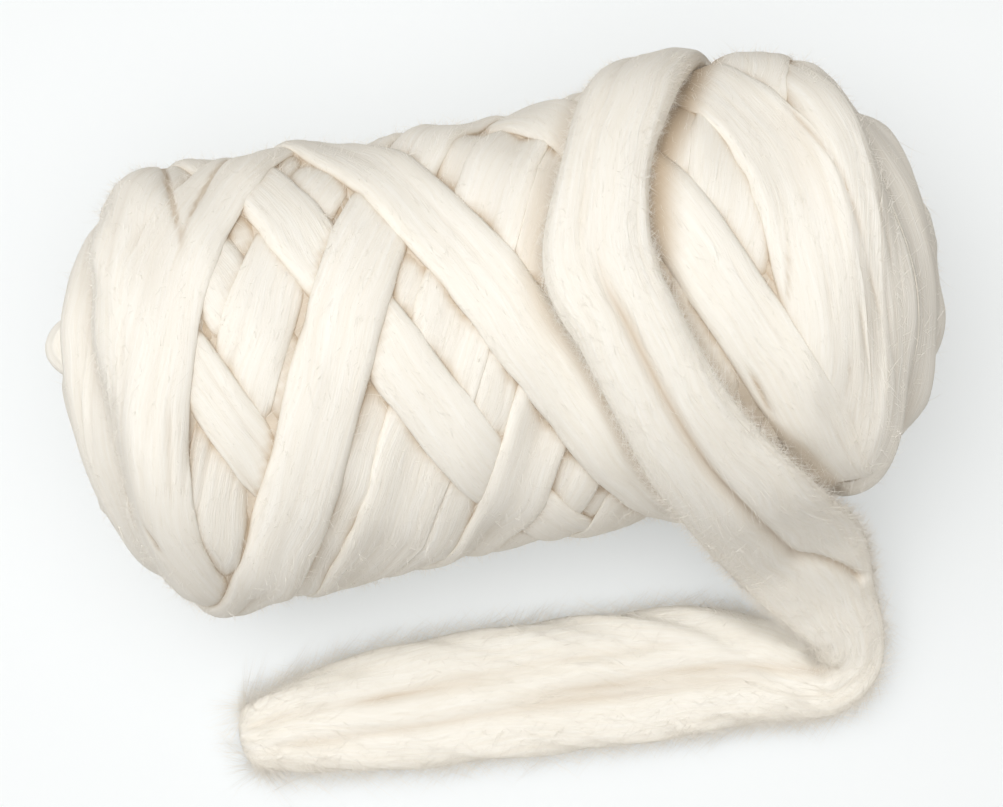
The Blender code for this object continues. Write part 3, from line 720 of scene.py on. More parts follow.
def strand_mesh(name, strip, start, stop, seed):
    rows = np.linspace(start, stop - 1, int((stop - start) / ROW_STEP))
    share = np.sin(np.linspace(-math.pi / 2, math.pi / 2, TOP_COLUMNS))
    offsets = np.concatenate([share, UNDERSIDE, share[:1]])
    on_top = np.concatenate([np.ones(TOP_COLUMNS), np.zeros(UNDERSIDE.size), [1.0]]) > 0
    columns = (offsets + 1.0) / 2.0 * (ACROSS.size - 1)
    numbers = np.arange(strip["along"].size)
    along = np.interp(rows, numbers, strip["along"])
    angle, place, bed, under = (resample(strip[key], rows, columns)
                                for key in ("angle", "place", "bed", "under"))
    ragged = EDGE_RAGGED * (1.0 + wander(seed + 3, along, np.array([0.0, 0.01]), 0.011, 0.01))
    inward = np.where(offsets < 0.0, ragged[:, :1], ragged[:, 1:]) * np.abs(offsets) ** 3
    middle_angle, middle_place = angle[:, TOP_COLUMNS // 2], place[:, TOP_COLUMNS // 2]
    angle = angle + inward * (middle_angle[:, None] - angle)
    place = place + inward * (middle_place[:, None] - place)
    half = strip["width"] / 2.0
    merge = np.stack([np.interp(rows, numbers, edge) for edge in strip["merge"].T], axis=1)
    shape = section(offsets, merge)
    thickness = np.interp(rows, numbers, strip["thickness"])[:, None]
    rise = thickness * shape
    top = np.maximum(bed + rise, under + DRAPE * rise)
    relief = (BUNDLE_HEIGHT * wander(seed, along, offsets * half, BUNDLE_LENGTH, BUNDLE_WIDTH)
              + THREAD_HEIGHT * wander(seed + 1, along, offsets * half, THREAD_LENGTH, THREAD_WIDTH))
    relief = relief - splits(seed + 2, along, offsets * half, along[-1])
    pressed = folds(angle, place)
    top = top + relief * shape ** 0.5 - pressed / PACKING
    bottom = np.minimum(bed, top) - UNDER_SHARE * thickness * shape - UNDER_GAP
    lift = np.where(on_top[None, :], top, bottom)
    height = settle(lift, angle, place)
    points = ball_point(angle, place, height)
    # Painted shade: deep spots on the top get the crease brown, and the underside all of it.
    painted_shade = np.where(on_top[None, :], painted_shade_mask(angle, place, height, relief, pressed), 1.0)
    around = np.where(on_top, offsets, 2.0 - offsets) * half
    around[-1] = 3.0 * half
    piece = rolled_grid(name, points, around, along, seed * UV_STEP, painted_shade)
    return piece, points[2:-2, 2:TOP_COLUMNS - 2]


# %% All the strands
GROUPS = {
    "end_turns": range(0, 2 * END_TURNS),
    "under_passes": range(2 * END_TURNS, 2 * END_TURNS + UNDER_PASSES),
    "early_passes": range(24, 33),
    "middle_passes": range(33, 39),
    "later_passes": range(39, 44),
    "top_passes": range(44, 48),
    "end_eyes": range(48, 50),
}


def build_winding():
    groups, skins = [], []
    for group, numbers in GROUPS.items():
        pieces = []
        for number in numbers:
            for run, (start, stop) in enumerate(visible_runs(strips[number])):
                piece, skin = strand_mesh(f"{group}_{number}_{run}", strips[number], start, stop,
                                          10 * number + run)
                pieces.append(piece)
                skins.append(skin)
        if pieces:
            groups.append(join(group, pieces))
    return groups, skins


groups, skins = build_winding()
print("faces in the winding", sum(len(g.data.polygons) for g in groups))

# %% [markdown]
# ## The core
#
# Between the strands one can look a little way in, and sees more wool and shadow. A closed
# body just below the strands fills the ball, so that no gap shows through. It is painted
# with the crease brown, less of it near the poles: painted shade.

# %% Core
CORE_DEPTH, CORE_REACH, CORE_FLOOR = 0.0007, 3, 0.0035
CORE_SEGMENTS, CORE_RINGS = 120, 110
CORE_SHADE_POLE, CORE_SHADE_MORE, CORE_SHADE_REACH = 0.2, 0.5, 0.09


def lowest_near(field, cells):
    """The lowest value of the map within some cells on each side."""
    for axis in (0, 1):
        field = np.minimum.reduce([np.roll(field, step, axis) for step in range(-cells, cells + 1)])
    return field


def build_core():
    bpy.ops.object.select_all(action="DESELECT")
    bpy.ops.mesh.primitive_uv_sphere_add(segments=CORE_SEGMENTS, ring_count=CORE_RINGS, radius=1.0)
    core = bpy.context.object
    core.name = "ball_core"
    mesh = core.data
    spots = vertex_points(mesh)
    share = np.arccos(np.clip(-spots[:, 2], -1.0, 1.0)) / math.pi
    angle = np.degrees(np.arctan2(spots[:, 1], spots[:, 0]))
    place = LEFT_POLE + share * (RIGHT_POLE - LEFT_POLE)
    floor = np.maximum(lowest_near(settled, CORE_REACH), level - CORE_FLOOR)
    low = look_up(floor, angle, place) - CORE_DEPTH
    points = ball_point(angle, place, low)
    mesh.vertices.foreach_set("co", points.reshape(-1))
    to_pole = np.minimum(place - LEFT_POLE, RIGHT_POLE - place)
    # Painted shade: the core takes the crease brown, weaker towards the poles.
    shade = CORE_SHADE_POLE + CORE_SHADE_MORE * smooth_step(to_pole / CORE_SHADE_REACH)
    write_maps(mesh, np.radians(angle) * END_RADIUS, place, shade)
    face_outward(mesh)
    bpy.ops.object.shade_smooth()
    print(core.name, len(mesh.polygons), "faces")
    return core


core = build_core()

# %% [markdown]
# ## The last turn
#
# The end of the roving comes over the top of the ball, falls down the front, folds under
# itself and lies back along the table. It is a free cord by nature, only a very fat and limp
# one. It is a tube lofted along a smooth line, with the deep crease between its two lobes,
# the smaller splits and the bundles of fibre pressed into it. On the table it is looser, so
# its bundles stand higher and turn slowly round it.

# %% Table of the last turn's route
LAST_TURN = (
    # degrees, mm along, width, thickness
    (-150, 142, 26, 6),
    (-120, 122, 34, 10),
    (-92, 105, 36, 14),
    (-66, 89, 37, 16),
    (-44, 72, 39, 17),
    (-22, 54, 37, 17),
    (0, 43, 45, 16),
    (16, 50, 42, 16),
    (34, 61, 43, 16),
    (50, 73, 49, 16),
    (68, 90, 57, 16),
)
FREE_END = (
    # x,    y,    z, width, thickness (mm), lean (degrees)
    (104, -110, 101, 60, 16, 64),
    (116, -119, 74, 61, 16, 54),
    (124, -130, 57, 56, 16, 40),
    (131, -142, 42, 46, 17, 24),
    (138, -157, 28, 36, 19, 8),
    (138, -171, 16, 32, 20, 0),
    (127, -178, 10.5, 35, 20, 0),
    (111, -174, 10.5, 43, 21, 0),
    (92, -168, 10.5, 51, 21, 0),
    (66, -162, 10, 60, 20, 0),
    (30, -159, 9.5, 63, 19, 0),
    (-16, -155, 9.5, 62, 19, 0),
    (-62, -153, 9.5, 61, 19, 0),
    (-108, -152, 9.0, 50, 18, 0),
    (-138, -152, 8.0, 36, 15, 0),
    (-154, -153, 6.5, 26, 11, 0),
)
print("rows of the route on the ball", len(LAST_TURN), "and free of it", len(FREE_END))

# %% Smooth line of the last turn
LINE_STEPS, TURN_LIFT = 16, 0.36


def unit(vectors):
    """The same directions, with a length of one."""
    return vectors / (np.linalg.norm(vectors, axis=-1, keepdims=True) + 1e-9)


def distances(points):
    """How far each point lies along the line that they make."""
    return np.concatenate([[0.0], np.cumsum(np.linalg.norm(np.diff(points, axis=0), axis=1))])


def spline(rows, steps):
    """A smooth line through the rows, with so many steps from each one to the next."""
    rows = np.array(rows, dtype=float)
    padded = np.vstack([2 * rows[0] - rows[1], rows, 2 * rows[-1] - rows[-2]])
    pieces = []
    for k in range(1, len(padded) - 2):
        t = np.linspace(0.0, 1.0, steps, endpoint=False)[:, None]
        p0, p1, p2, p3 = padded[k - 1:k + 3]
        pieces.append(0.5 * (2 * p1 + (p2 - p0) * t + (2 * p0 - 5 * p1 + 4 * p2 - p3) * t ** 2
                             + (3 * p1 - p0 - 3 * p2 + p3) * t ** 3))
    pieces.append(rows[-1:])
    return np.vstack(pieces)


def loose_rows():
    """Centre, outward direction, width and thickness along the last turn, in metres."""
    rows = []
    for angle, place, width, thick in LAST_TURN:
        near = place / 1000.0
        spread = look_up(settled, angle + np.array([-8, 0, 8, 0, 0]),
                         near + np.array([0, -0.01, 0, 0.01, 0]))
        lift = float(spread.max()) + TURN_LIFT * thick / 1000.0
        centre = body_point(angle, near, lift)
        outward = unit(body_point(angle, near, lift + 0.01) - centre)
        rows.append([*(centre - to_table), *outward, width / 1000.0, thick / 1000.0])
    for x, y, z, width, thick, lean in FREE_END:
        tilt = math.radians(lean)
        rows.append([x / 1000.0 - to_table[0], y / 1000.0 - to_table[1], z / 1000.0,
                     0.0, -math.sin(tilt), math.cos(tilt), width / 1000.0, thick / 1000.0])
    return rows


loose_line = spline(loose_rows(), LINE_STEPS)
loose_along = distances(loose_line[:, :3])

# %% Relief and creases of the last turn
LOOSE_AROUND, TAIL_TWIST, END_ROUNDING = 80, 20.0, 9.0
TAIL_START, TAIL_FADE, LOOSE_GIRTH = 14.0, 4.0, 0.11
OVAL_WIDE, OVAL_TALL = 0.9, 0.75
CREASE_IN, CREASE_OUT, CREASE_FULL, CREASE_PAINTED_SHADE = 0.26, 0.16, 0.0045, 0.75
LOOSE_RELIEF = (
    # seed, height on the ball, more on the tail (mm), length (m), bundles round the strand
    (901, 0.6, 0.8, 0.09, 16),
    (902, 0.3, 0.3, 0.05, 34),
    (903, 0.0, 1.2, 0.10, 8),
)
CREASES = (
    # row of the route where it starts, ends; offset at both (-1 to 1); depth, width (mm)
    (5.2, 12.6, -0.02, 0.04, 5.0, 2.4),
    (11.4, 14.0, 0.04, -0.80, 5.0, 2.4),
    (2.0, 6.2, 0.35, 0.30, 1.6, 1.6),
    (7.5, 11.0, -0.45, -0.35, 0.9, 1.4),
    (8.5, 13.0, 0.45, 0.40, 0.9, 1.4),
    (15.5, 22.5, 0.35, -0.20, 3.4, 3.3),
    (18.0, 25.5, -0.15, -0.45, 3.0, 3.0),
    (19.5, 24.0, 0.50, 0.15, 2.2, 2.4),
    (21.5, 26.0, 0.10, 0.30, 2.4, 2.5),
)


def loose_creases(knot, offset, half_width):
    depth = np.zeros((knot.size, offset.shape[1]))
    for start, stop, first, last, deep, wide in CREASES:
        share = np.clip((knot - start) / (stop - start), 0.0, 1.0)
        window = smooth_step(share / CREASE_IN) * smooth_step((1.0 - share) / CREASE_OUT)
        centre = first + (last - first) * share
        gap = np.abs(offset - centre[:, None]) * half_width[:, None] / (wide / 1000.0)
        depth += deep / 1000.0 * window[:, None] * np.exp(-gap ** 1.3)
    return depth


print("creases", len(CREASES))

# %% Directions along the last turn
LEAST_SLANT = 0.35


def loose_frames(line):
    """Sideways and outward directions along the line, without sudden turns."""
    tangents = unit(np.gradient(line[:, :3], axis=0))
    before = np.cross(tangents[0], line[0, 3:6])
    frames = []
    for tangent, hint in zip(tangents, line[:, 3:6]):
        side = np.cross(tangent, hint)
        if np.linalg.norm(side) < LEAST_SLANT:
            side = before - tangent * np.dot(before, tangent)
        side = unit(side if np.dot(side, before) > 0 else -side)
        before = side
        frames.append((side, np.cross(side, tangent)))
    return np.array(frames)


print("first sideways direction", loose_frames(loose_line)[0, 0].round(2))


# %% The last turn's mesh
def loft(name, line, flat, tall, sides, ups, along, girth, painted_shade, uv_start):
    """A closed tube along a line; `flat` and `tall` say how far its points lie from the line."""
    points = line[:, None, :3] + flat[..., None] * sides[:, None] + tall[..., None] * ups[:, None]
    points[..., 2] = np.maximum(points[..., 2], 0.0)
    piece = rolled_grid(name, points, girth, along, uv_start, painted_shade)
    print(name, len(piece.data.polygons), "faces")
    return piece, points


def build_last_turn():
    frames = loose_frames(loose_line)
    turn = np.linspace(0.0, 2.0 * math.pi, LOOSE_AROUND + 1)
    c, s = np.cos(turn), np.sin(turn)
    ends = np.minimum(np.arange(len(loose_line)), np.arange(len(loose_line))[::-1]) / END_ROUNDING
    rounded = np.sqrt(1.0 - (1.0 - np.clip(ends, 0.0, 1.0)) ** 2)[:, None]
    width, thick = loose_line[:, 6:7] * rounded, loose_line[:, 7:8] * rounded
    offset = np.broadcast_to(np.abs(c) ** OVAL_WIDE * np.sign(c), (len(loose_line), turn.size))
    flat = offset * width / 2.0
    high = (np.abs(s) ** OVAL_TALL * np.sign(s))[None, :] * thick / 2.0
    upward = np.sign(np.einsum("ij,ij->i", frames[:, 1], loose_line[:, 3:6]))
    knot = np.arange(len(loose_line)) / LINE_STEPS
    tail = smooth_step((knot - TAIL_START) / TAIL_FADE)[:, None]
    girth = turn / (2.0 * math.pi) * LOOSE_GIRTH
    relief = 0.0
    for seed, height, more, length, count in LOOSE_RELIEF:
        bundles = wander(seed, loose_along, girth, length, LOOSE_GIRTH / count, wrap=count)
        relief = relief + (height + more * tail) / 1000.0 * bundles
    twist = TAIL_TWIST * np.cumsum(np.gradient(loose_along) * tail[:, 0])
    relief = np.array([np.interp(turn + shift, turn, row, period=2.0 * math.pi)
                       for shift, row in zip(twist, relief)])
    groove = loose_creases(knot, offset, width[:, 0] / 2.0)
    groove = groove * (s[None, :] * upward[:, None] > 0.0)
    high = high - np.sign(s)[None, :] * groove * np.minimum(np.abs(s) * 3.0, 1.0)[None, :]
    high = high + relief * s[None, :]
    flat = flat + relief * c[None, :]
    # Painted shade: the grooves are coloured darker as they deepen.
    painted_shade = CREASE_PAINTED_SHADE * np.clip(groove / CREASE_FULL, 0.0, 1.0) ** 1.5
    return loft("last_turn", loose_line, flat, high, frames[:, 0], frames[:, 1], loose_along, girth,
                painted_shade, 77.0)


last_turn, loose_points = build_last_turn()

# %% [markdown]
# ## A slack loop at the left end
#
# One turn of the strand stands off the left end of the ball as a small slack loop, just
# enough to break the outline. It is lofted the same way, and both of its feet go back into
# the ball.

# %% Slack loop
END_LOOP = (
    # x,    y,    z, width, thickness (mm)
    (-166, 16, 91, 12, 8),
    (-180, 16, 92, 17, 10),
    (-191, 20, 93, 20, 11),
    (-196, 28, 94, 22, 12),
    (-192, 36, 95, 20, 11),
    (-181, 40, 95, 17, 10),
    (-167, 41, 94, 12, 8),
)
LOOP_STEPS, LOOP_AROUND, LOOP_GIRTH, LOOP_RELIEF = 10, 41, 0.05, 0.0007


def build_end_loop():
    line = spline(END_LOOP, LOOP_STEPS) / 1000.0
    upright = np.array([[0.0, 0.0, 1.0]])
    sides = unit(np.cross(unit(np.gradient(line[:, :3], axis=0)), upright))
    along = distances(line[:, :3])
    turn = np.linspace(0.0, 2.0 * math.pi, LOOP_AROUND)
    girth = turn / (2.0 * math.pi) * LOOP_GIRTH
    relief = LOOP_RELIEF * wander(951, along, girth, 0.03, LOOP_GIRTH / 12, wrap=12)
    flat = line[:, 4:5] / 2.0 * np.cos(turn) + relief * np.cos(turn)
    tall = line[:, 3:4] / 2.0 * np.sin(turn) + relief * np.sin(turn)
    return loft("end_loop", line, flat, tall, sides, upright, along, girth, np.zeros(flat.shape), 99.0)[0]


groups.append(build_end_loop())


# %% [markdown]
# ## Shade beside the last turn
#
# Little light gets into the narrow gap beside the last turn, and least of all on its right
# side near the top, where it stands off the ball. That shade is painted: the mask of painted
# shade is raised there, by the distance to the line that the last turn follows.

# %% Shade beside the last turn
GAP_SHADES = (
    # row of the route, shade on the left, on the right, how far it reaches (mm)
    (0.0, 0.50, 0.60, 6),
    (2.0, 0.50, 1.00, 13),
    (5.5, 0.50, 1.00, 13),
    (7.5, 0.62, 0.62, 6),
    (11.0, 0.62, 0.62, 6),
)
GAP_FLOOR = 0.003


def follow_last_turn():
    rows = loose_line[:len(LAST_TURN) * LINE_STEPS]
    tree = KDTree(len(rows))
    for number, row in enumerate(rows):
        tree.insert(row[:3], number)
    tree.balance()
    return rows, tree


def shade_beside_last_turn(piece, rows, tree):
    spots = vertex_points(piece.data)
    mask = piece.data.attributes["painted_shade"]
    shade = np.empty(len(spots), dtype=np.float32)
    mask.data.foreach_get("value", shade)
    found = np.array([tree.find(spot)[1:] for spot in spots])
    number = found[:, 0].astype(int)
    gaps = np.maximum(found[:, 1] - rows[number, 6] / 2.0 - GAP_FLOOR, 0.0)
    table = np.array(GAP_SHADES)
    left, right, reach = (np.interp(number / LINE_STEPS, table[:, 0], column)
                          for column in table[:, 1:].T)
    deepest = np.where(spots[:, 0] > rows[number, 0], right, left)
    shade = np.maximum(shade, deepest * (1.0 - smooth_step(gaps / reach * 1000.0)))
    mask.data.foreach_set("value", shade.astype(np.float32))


route_rows, route_tree = follow_last_turn()
for group in groups:
    shade_beside_last_turn(group, route_rows, route_tree)
print("shaded beside the last turn", len(groups), "pieces")

# %% [markdown]
# ## Fly-away fibres
#
# Wool is never quite smooth: single hairs stand off the strands, most of them nearly along
# the strand they belong to. Each is a thin three-sided tube that tapers and bends. Thousands
# of them are made at once from arrays, because one operator call for each would take minutes.

# %% Growing fibres
FIBRE_RADIUS, ROOT_DEPTH, TABLE_CLEARANCE = 0.000075, 0.0006, 0.0004
HEADING_SPREAD, BEND_ASIDE, BEND_DOWN, BEND_SPREAD, TAPER = 0.35, 0.45, -0.1, 0.35, 0.6


def grow_fibres(name, rings, roots, tangents, normals, lengths, lifts, seed):
    """Closed three-sided tubes that bend and run out to a point, joined in one mesh."""
    rng = np.random.default_rng(seed)
    count = len(roots)
    sides = np.cross(tangents, normals)
    way = rng.choice([-1.0, 1.0], (count, 1))
    heading = tangents * way + sides * rng.normal(0.0, HEADING_SPREAD, (count, 1))
    bend = (sides * rng.normal(0.0, BEND_ASIDE, (count, 1))
            + normals * rng.normal(BEND_DOWN, BEND_SPREAD, (count, 1)))
    t = np.linspace(0.0, 1.0, rings + 1)[None, :, None]
    size = lengths[:, None, None]
    line = (roots[:, None, :] - normals[:, None, :] * ROOT_DEPTH
            + size * t * (heading + lifts[:, None] * normals)[:, None, :]
            + size * t * t * bend[:, None, :] * 0.5)
    line[..., 2] = np.maximum(line[..., 2], TABLE_CLEARANCE)
    first = unit(np.cross(heading, normals))
    second = unit(np.cross(heading + lifts[:, None] * normals, first))
    radius = FIBRE_RADIUS * (1.0 - TAPER * t[:, :-1]) * rng.uniform(0.7, 1.3, (count, 1, 1))
    corners = []
    for corner in range(3):
        turn = 2.0 * math.pi * corner / 3.0
        out = math.cos(turn) * first + math.sin(turn) * second
        corners.append(line[:, :-1] + radius * out[:, None, :])
    tubes = np.stack(corners, axis=2).reshape(count, rings * 3, 3)
    points = np.concatenate([tubes, line[:, -1:]], axis=1).reshape(-1, 3)
    last, tip = (rings - 1) * 3, rings * 3
    faces = [(0, 2, 1)]
    for a, b in ((0, 1), (1, 2), (2, 0)):
        for low in range(0, last, 3):
            faces += [(low + a, low + b, low + b + 3), (low + a, low + b + 3, low + a + 3)]
        faces.append((last + a, last + b, tip))
    starts = np.arange(count)[None, :, None] * (tip + 1)
    faces = (np.array(faces)[:, None, :] + starts).reshape(-1, 3)
    mesh = bpy.data.meshes.new(name)
    mesh.from_pydata(points.tolist(), [], faces.tolist())
    face_outward(mesh)
    fibres = bpy.data.objects.new(name, mesh)
    bpy.context.scene.collection.objects.link(fibres)
    print(name, count, "fibres", len(mesh.polygons), "faces")
    return fibres


print("a fibre is", round(2000.0 * FIBRE_RADIUS, 2), "mm thick")

# %% Roots of the fibres
BALD_END, END_SHARE, TAIL_FROM = 0.150, 0.25, 0.12
EDGE_SHARE, EDGE_SPREAD = 0.65, 7.0


def skin_samples(skin, count, rng):
    """Random roots on a strip of surface, with the strand's direction and the way out."""
    i = rng.integers(1, skin.shape[0] - 1, count)
    j = rng.integers(1, skin.shape[1] - 1, count)
    tangent = skin[i + 1, j] - skin[i - 1, j]
    side = skin[i, j + 1] - skin[i, j - 1]
    return skin[i, j], unit(tangent), unit(np.cross(tangent, side))


def strip_area(skin):
    lengthwise = np.linalg.norm(np.diff(skin, axis=0), axis=2).sum(axis=0).mean()
    crosswise = np.linalg.norm(np.diff(skin, axis=1), axis=2).sum(axis=1).mean()
    return lengthwise * crosswise


def ball_roots(count, seed):
    rng = np.random.default_rng(seed)
    areas = np.array([strip_area(skin) for skin in skins])
    areas[[abs(skin[..., 0].mean()) > BALD_END for skin in skins]] *= END_SHARE
    roots, tangents, normals = [], [], []
    for skin, share in zip(skins, (areas / areas.sum() * count).astype(int)):
        root, tangent, normal = skin_samples(skin, share, rng)
        middle = np.array([0.0, 0.0, END_RADIUS - FLAT_DEPTH])
        outward = np.einsum("ij,ij->i", normal, (root - middle) * [0.3, 1.0, 1.0])
        normals.append(normal * np.sign(outward)[:, None])
        roots.append(root)
        tangents.append(tangent)
    return (np.concatenate(values) for values in (roots, tangents, normals))


def tail_roots(count, seed):
    rng = np.random.default_rng(seed)
    rows = (rng.uniform(TAIL_FROM, 1.0, count) * (len(loose_line) - 4)).astype(int) + 1
    edge = rng.choice([0.0, LOOSE_AROUND / 2.0], count)
    at_edge = rng.normal(edge, EDGE_SPREAD).round().astype(int) % LOOSE_AROUND
    anywhere = rng.integers(0, LOOSE_AROUND, count)
    columns = np.where(rng.uniform(size=count) < EDGE_SHARE, at_edge, anywhere)
    roots = loose_points[rows, columns]
    tangents = unit(loose_points[rows + 1, columns] - loose_points[rows - 1, columns])
    normals = unit(roots - loose_line[rows, :3])
    normals[:, 2] = np.maximum(normals[:, 2], -0.2)
    return roots, tangents, normals


print("strips of surface to root in", len(skins))

# %% All the loose fibres
HAIRS = (
    # name, on the ball or the tail, rings, count, length (mm), lift, seed
    ("ball_fibres", "ball", 2, 9000, (4.0, 12.0), (0.05, 0.70), 31),
    ("ball_fuzz", "ball", 1, 34000, (1.5, 4.2), (0.30, 1.90), 33),
    ("tail_fibres", "tail", 3, 5500, (6.0, 24.0), (0.03, 0.60), 41),
    ("tail_fuzz", "tail", 1, 26000, (2.5, 8.0), (0.20, 1.80), 43),
)


def build_hairs():
    made = []
    for name, where, rings, count, length, lift, seed in HAIRS:
        rng = np.random.default_rng(seed)
        find_roots = ball_roots if where == "ball" else tail_roots
        roots, tangents, normals = find_roots(count, seed)
        lengths = rng.uniform(length[0], length[1], len(roots)) / 1000.0
        lifts = rng.uniform(lift[0], lift[1], len(roots))
        made.append(grow_fibres(name, rings, roots, tangents, normals, lengths, lifts, seed + 1))
    return made


hairs = build_hairs()

# %% [markdown]
# ## Wool
#
# Undyed wool is a warm cream with a soft bloom where it is seen edge on. The fibres are far
# too fine to model, so a pattern on the UV map draws them: noise squeezed across the strand
# and stretched along it, at four widths. It lifts the bump and shifts the colour. Both wool
# materials use it, so it is a node group. In the creases the colour is painted browner, as
# painted shade: little light gets in, and what gets out has been through more wool.

# %% Fibre pattern
STREAKS = (
    # what it draws, scale across, scale along, slant (degrees), detail, share
    ("bundles", 260.0, 9.0, 0.0, 2.0, 0.32),
    ("threads", 800.0, 22.0, 2.5, 3.0, 0.30),
    ("hairs", 1900.0, 42.0, -4.0, 3.0, 0.20),
    ("crossing hairs", 1500.0, 34.0, 6.0, 3.0, 0.18),
)


def add_node(tree, kind, inputs=(), **settings):
    node = tree.nodes.new(kind)
    for name, value in settings.items():
        setattr(node, name, value)
    for name, value in dict(inputs).items():
        node.inputs[name].default_value = value
    return node


def fibre_group():
    group = bpy.data.node_groups.new("wool_streaks", "ShaderNodeTree")
    group.interface.new_socket("Vector", in_out="INPUT", socket_type="NodeSocketVector")
    group.interface.new_socket("Height", in_out="OUTPUT", socket_type="NodeSocketFloat")
    group.interface.new_socket("Tone", in_out="OUTPUT", socket_type="NodeSocketFloat")
    link = group.links.new
    entry, leave = add_node(group, "NodeGroupInput"), add_node(group, "NodeGroupOutput")
    drift = add_node(group, "ShaderNodeTexNoise", {"Scale": 18.0, "Detail": 1.0})
    link(entry.outputs["Vector"], drift.inputs["Vector"])
    spread = add_node(group, "ShaderNodeVectorMath", {1: (0.012, 0.0, 0.0)}, operation="MULTIPLY_ADD")
    link(drift.outputs["Color"], spread.inputs[0])
    link(entry.outputs["Vector"], spread.inputs[2])
    total = None
    for label, across, along, slant, detail, share in STREAKS:
        squeeze = add_node(group, "ShaderNodeMapping", {"Rotation": (0.0, 0.0, math.radians(slant)),
                                                        "Scale": (1.0 / across, 1.0 / along, 1.0)},
                           vector_type="TEXTURE")
        noise = add_node(group, "ShaderNodeTexNoise", {"Scale": 1.0, "Detail": detail, "Roughness": 0.6},
                         label=label)
        layer = add_node(group, "ShaderNodeMath", {1: share, 2: 0.0}, operation="MULTIPLY_ADD")
        link(spread.outputs["Vector"], squeeze.inputs["Vector"])
        link(squeeze.outputs["Vector"], noise.inputs["Vector"])
        link(noise.outputs["Fac"], layer.inputs[0])
        if total is not None:
            link(total, layer.inputs[2])
        total = layer.outputs["Value"]
    link(total, leave.inputs["Height"])
    sharpen = add_node(group, "ShaderNodeMapRange", {"From Min": 0.36, "From Max": 0.64})
    link(total, sharpen.inputs["Value"])
    link(sharpen.outputs["Result"], leave.inputs["Tone"])
    return group


streaks = fibre_group()
print("node group", streaks.name, len(streaks.nodes), "nodes")

# %% Colours and small helpers
# The first two are the fibres' tones; the third is the brown of painted shade in creases, gaps and
# undersides.
CREAM, SHADE, PAINTED_SHADE_COLOUR = (0.90, 0.85, 0.755, 1.0), (0.97, 0.945, 0.885, 1.0), (0.54, 0.42, 0.29, 1.0)
HAIR_PALE, HAIR_DARK = (0.95, 0.92, 0.865, 1.0), (0.87, 0.825, 0.75, 1.0)
PAINTED_SHADE_STRENGTH, WOUND_BUMP, LOOSE_BUMP, HAIR_TONE_SCALE = 0.90, 0.0007, 0.0010, 60.0
FACTOR, FIRST, SECOND, MIXED = 0, 6, 7, 2   # sockets of a colour mix; the last comes out


def new_material(name, inputs):
    material = bpy.data.materials.new(name)
    material.use_nodes = True
    shader = material.node_tree.nodes["Principled BSDF"]
    for socket, value in inputs.items():
        shader.inputs[socket].default_value = value
    return material, material.node_tree, shader


def blend(tree, factor, first, second):
    """Mix two colours by a factor; the first may be another node's output."""
    mix = add_node(tree, "ShaderNodeMix", data_type="RGBA")
    tree.links.new(factor, mix.inputs[FACTOR])
    if isinstance(first, tuple):
        mix.inputs[FIRST].default_value = first
    else:
        tree.links.new(first, mix.inputs[FIRST])
    mix.inputs[SECOND].default_value = second
    return mix.outputs[MIXED]


print("cream", CREAM[:3], "in the creases", PAINTED_SHADE_COLOUR[:3])


# %% Wool materials
def wool(name, bump_height):
    material, tree, shader = new_material(name, {
        "Roughness": 0.92, "Specular IOR Level": 0.15, "Sheen Weight": 0.12,
        "Sheen Roughness": 0.45, "Sheen Tint": (1.0, 0.97, 0.90, 1.0)})
    link = tree.links.new
    place = add_node(tree, "ShaderNodeUVMap", uv_map="fibres")
    pattern = add_node(tree, "ShaderNodeGroup", node_tree=streaks)
    link(place.outputs["UV"], pattern.inputs["Vector"])
    tone = blend(tree, pattern.outputs["Tone"], CREAM, SHADE)
    # The mask mixes the crease brown into the colour: painted shade in creases, gaps and undersides.
    mask = add_node(tree, "ShaderNodeAttribute", attribute_name="painted_shade")
    weaken = add_node(tree, "ShaderNodeMath", {1: PAINTED_SHADE_STRENGTH}, operation="MULTIPLY")
    link(mask.outputs["Fac"], weaken.inputs[0])
    link(blend(tree, weaken.outputs["Value"], tone, PAINTED_SHADE_COLOUR), shader.inputs["Base Color"])
    bump = add_node(tree, "ShaderNodeBump", {"Strength": 1.0, "Distance": bump_height})
    link(pattern.outputs["Height"], bump.inputs["Height"])
    link(bump.outputs["Normal"], shader.inputs["Normal"])
    return material


def fibre_wool():
    material, tree, shader = new_material("fibre_wool", {"Roughness": 0.8, "Specular IOR Level": 0.2})
    place = add_node(tree, "ShaderNodeTexCoord")
    noise = add_node(tree, "ShaderNodeTexNoise", {"Scale": HAIR_TONE_SCALE})
    tree.links.new(place.outputs["Object"], noise.inputs["Vector"])
    tone = blend(tree, noise.outputs["Fac"], HAIR_PALE, HAIR_DARK)
    tree.links.new(tone, shader.inputs["Base Color"])
    return material


wound_wool, loose_wool = wool("wound_wool", WOUND_BUMP), wool("loose_wool", LOOSE_BUMP)
stray_wool = fibre_wool()
for piece in [*groups, core, last_turn]:
    piece.data.materials.clear()
    piece.data.materials.append(loose_wool if piece is last_turn else wound_wool)
for piece in hairs:
    piece.data.materials.append(stray_wool)
print("materials", wound_wool.name, loose_wool.name, stray_wool.name)

# %% [markdown]
# ## What each piece stands for
#
# Everything rides on the one body. The strands, the slack loop and the core stand for the
# wound solid, and the last turn, a free cord by nature, stands for the loose end; both
# solids are hidden.

# %% Pieces and the frame
for piece in [*groups, core, last_turn, *hairs]:
    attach(piece, "root")
for piece in [*groups, core]:
    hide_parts("wound_ball")
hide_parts("loose_end")
print("pieces", len(groups) + len(hairs) + 2)

# %% [markdown]
# ## Floor and light
#
# The ball lies on a pale floor. A very broad soft light shines along the camera's own
# direction, so the strands are bright where they face the camera and darker where they turn
# away, and a smaller key light from the upper left draws the shadow to the lower right. The
# world adds a little warm fill. A real floor of this brightness would throw so much light up
# that the underside went flat, so the floor is darker than it looks and glows for the
# camera's rays alone.

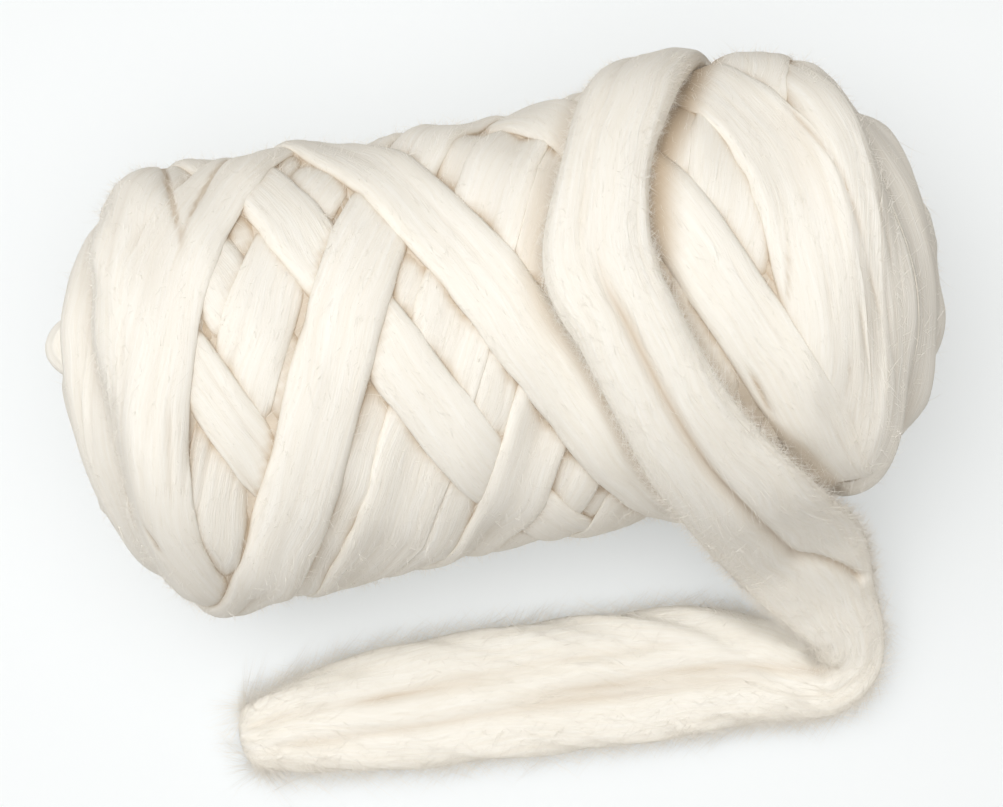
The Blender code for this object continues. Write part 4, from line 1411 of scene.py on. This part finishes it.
# %% Floor
FLOOR_SIZE, FLOOR_LEVEL = 6.0, -0.0004
FLOOR_COLOUR, FLOOR_GLOW_COLOUR, FLOOR_GLOW = (0.60, 0.607, 0.615, 1.0), (0.95, 1.0, 1.0, 1.0), 0.335


def build_floor():
    bpy.ops.object.select_all(action="DESELECT")
    bpy.ops.mesh.primitive_plane_add(size=FLOOR_SIZE, location=(0.0, 0.0, FLOOR_LEVEL))
    floor = bpy.context.object
    floor.name = "floor"
    material, tree, shader = new_material("white_sweep", {
        "Base Color": FLOOR_COLOUR, "Emission Color": FLOOR_GLOW_COLOUR, "Roughness": 0.9,
        "Specular IOR Level": 0.1})
    seen = add_node(tree, "ShaderNodeLightPath")
    glow = add_node(tree, "ShaderNodeMath", {1: FLOOR_GLOW}, operation="MULTIPLY")
    tree.links.new(seen.outputs["Is Camera Ray"], glow.inputs[0])
    tree.links.new(glow.outputs["Value"], shader.inputs["Emission Strength"])
    floor.data.materials.append(material)


build_floor()

# %% Lights
LIGHT_COLOUR, FILL_COLOUR, FILL_STRENGTH = (0.965, 0.985, 1.0), (1.0, 0.87, 0.72, 1.0), 0.20
LIGHTS = (
    # name, direction (right, up, towards the camera), distance, size (m), power (W)
    ("key_light", (-0.47, 0.25, 0.85), 3.0, 2.8, 38.0),
    ("overhead_light", (0.0, 0.02, 1.0), 4.0, 5.0, 129.0),
)


def soft_light(name, heading, distance, size, power):
    direction = view_right * heading[0] + view_up * heading[1] + view_back * heading[2]
    bpy.ops.object.light_add(type="AREA", location=BALL_CENTRE + direction.normalized() * distance)
    light = bpy.context.object
    light.name = name
    light.data.shape = "DISK"
    light.data.size = size
    light.data.energy = power
    light.data.color = LIGHT_COLOUR
    light.rotation_euler = direction.to_track_quat("Z", "Y").to_euler()
    print(name, [round(v, 2) for v in light.location])


bpy.context.scene.view_settings.view_transform = "Standard"
for values in LIGHTS:
    soft_light(*values)
world = bpy.data.worlds.new("studio")
bpy.context.scene.world = world
world.use_nodes = True
world.node_tree.nodes["Background"].inputs["Color"].default_value = FILL_COLOUR
world.node_tree.nodes["Background"].inputs["Strength"].default_value = FILL_STRENGTH
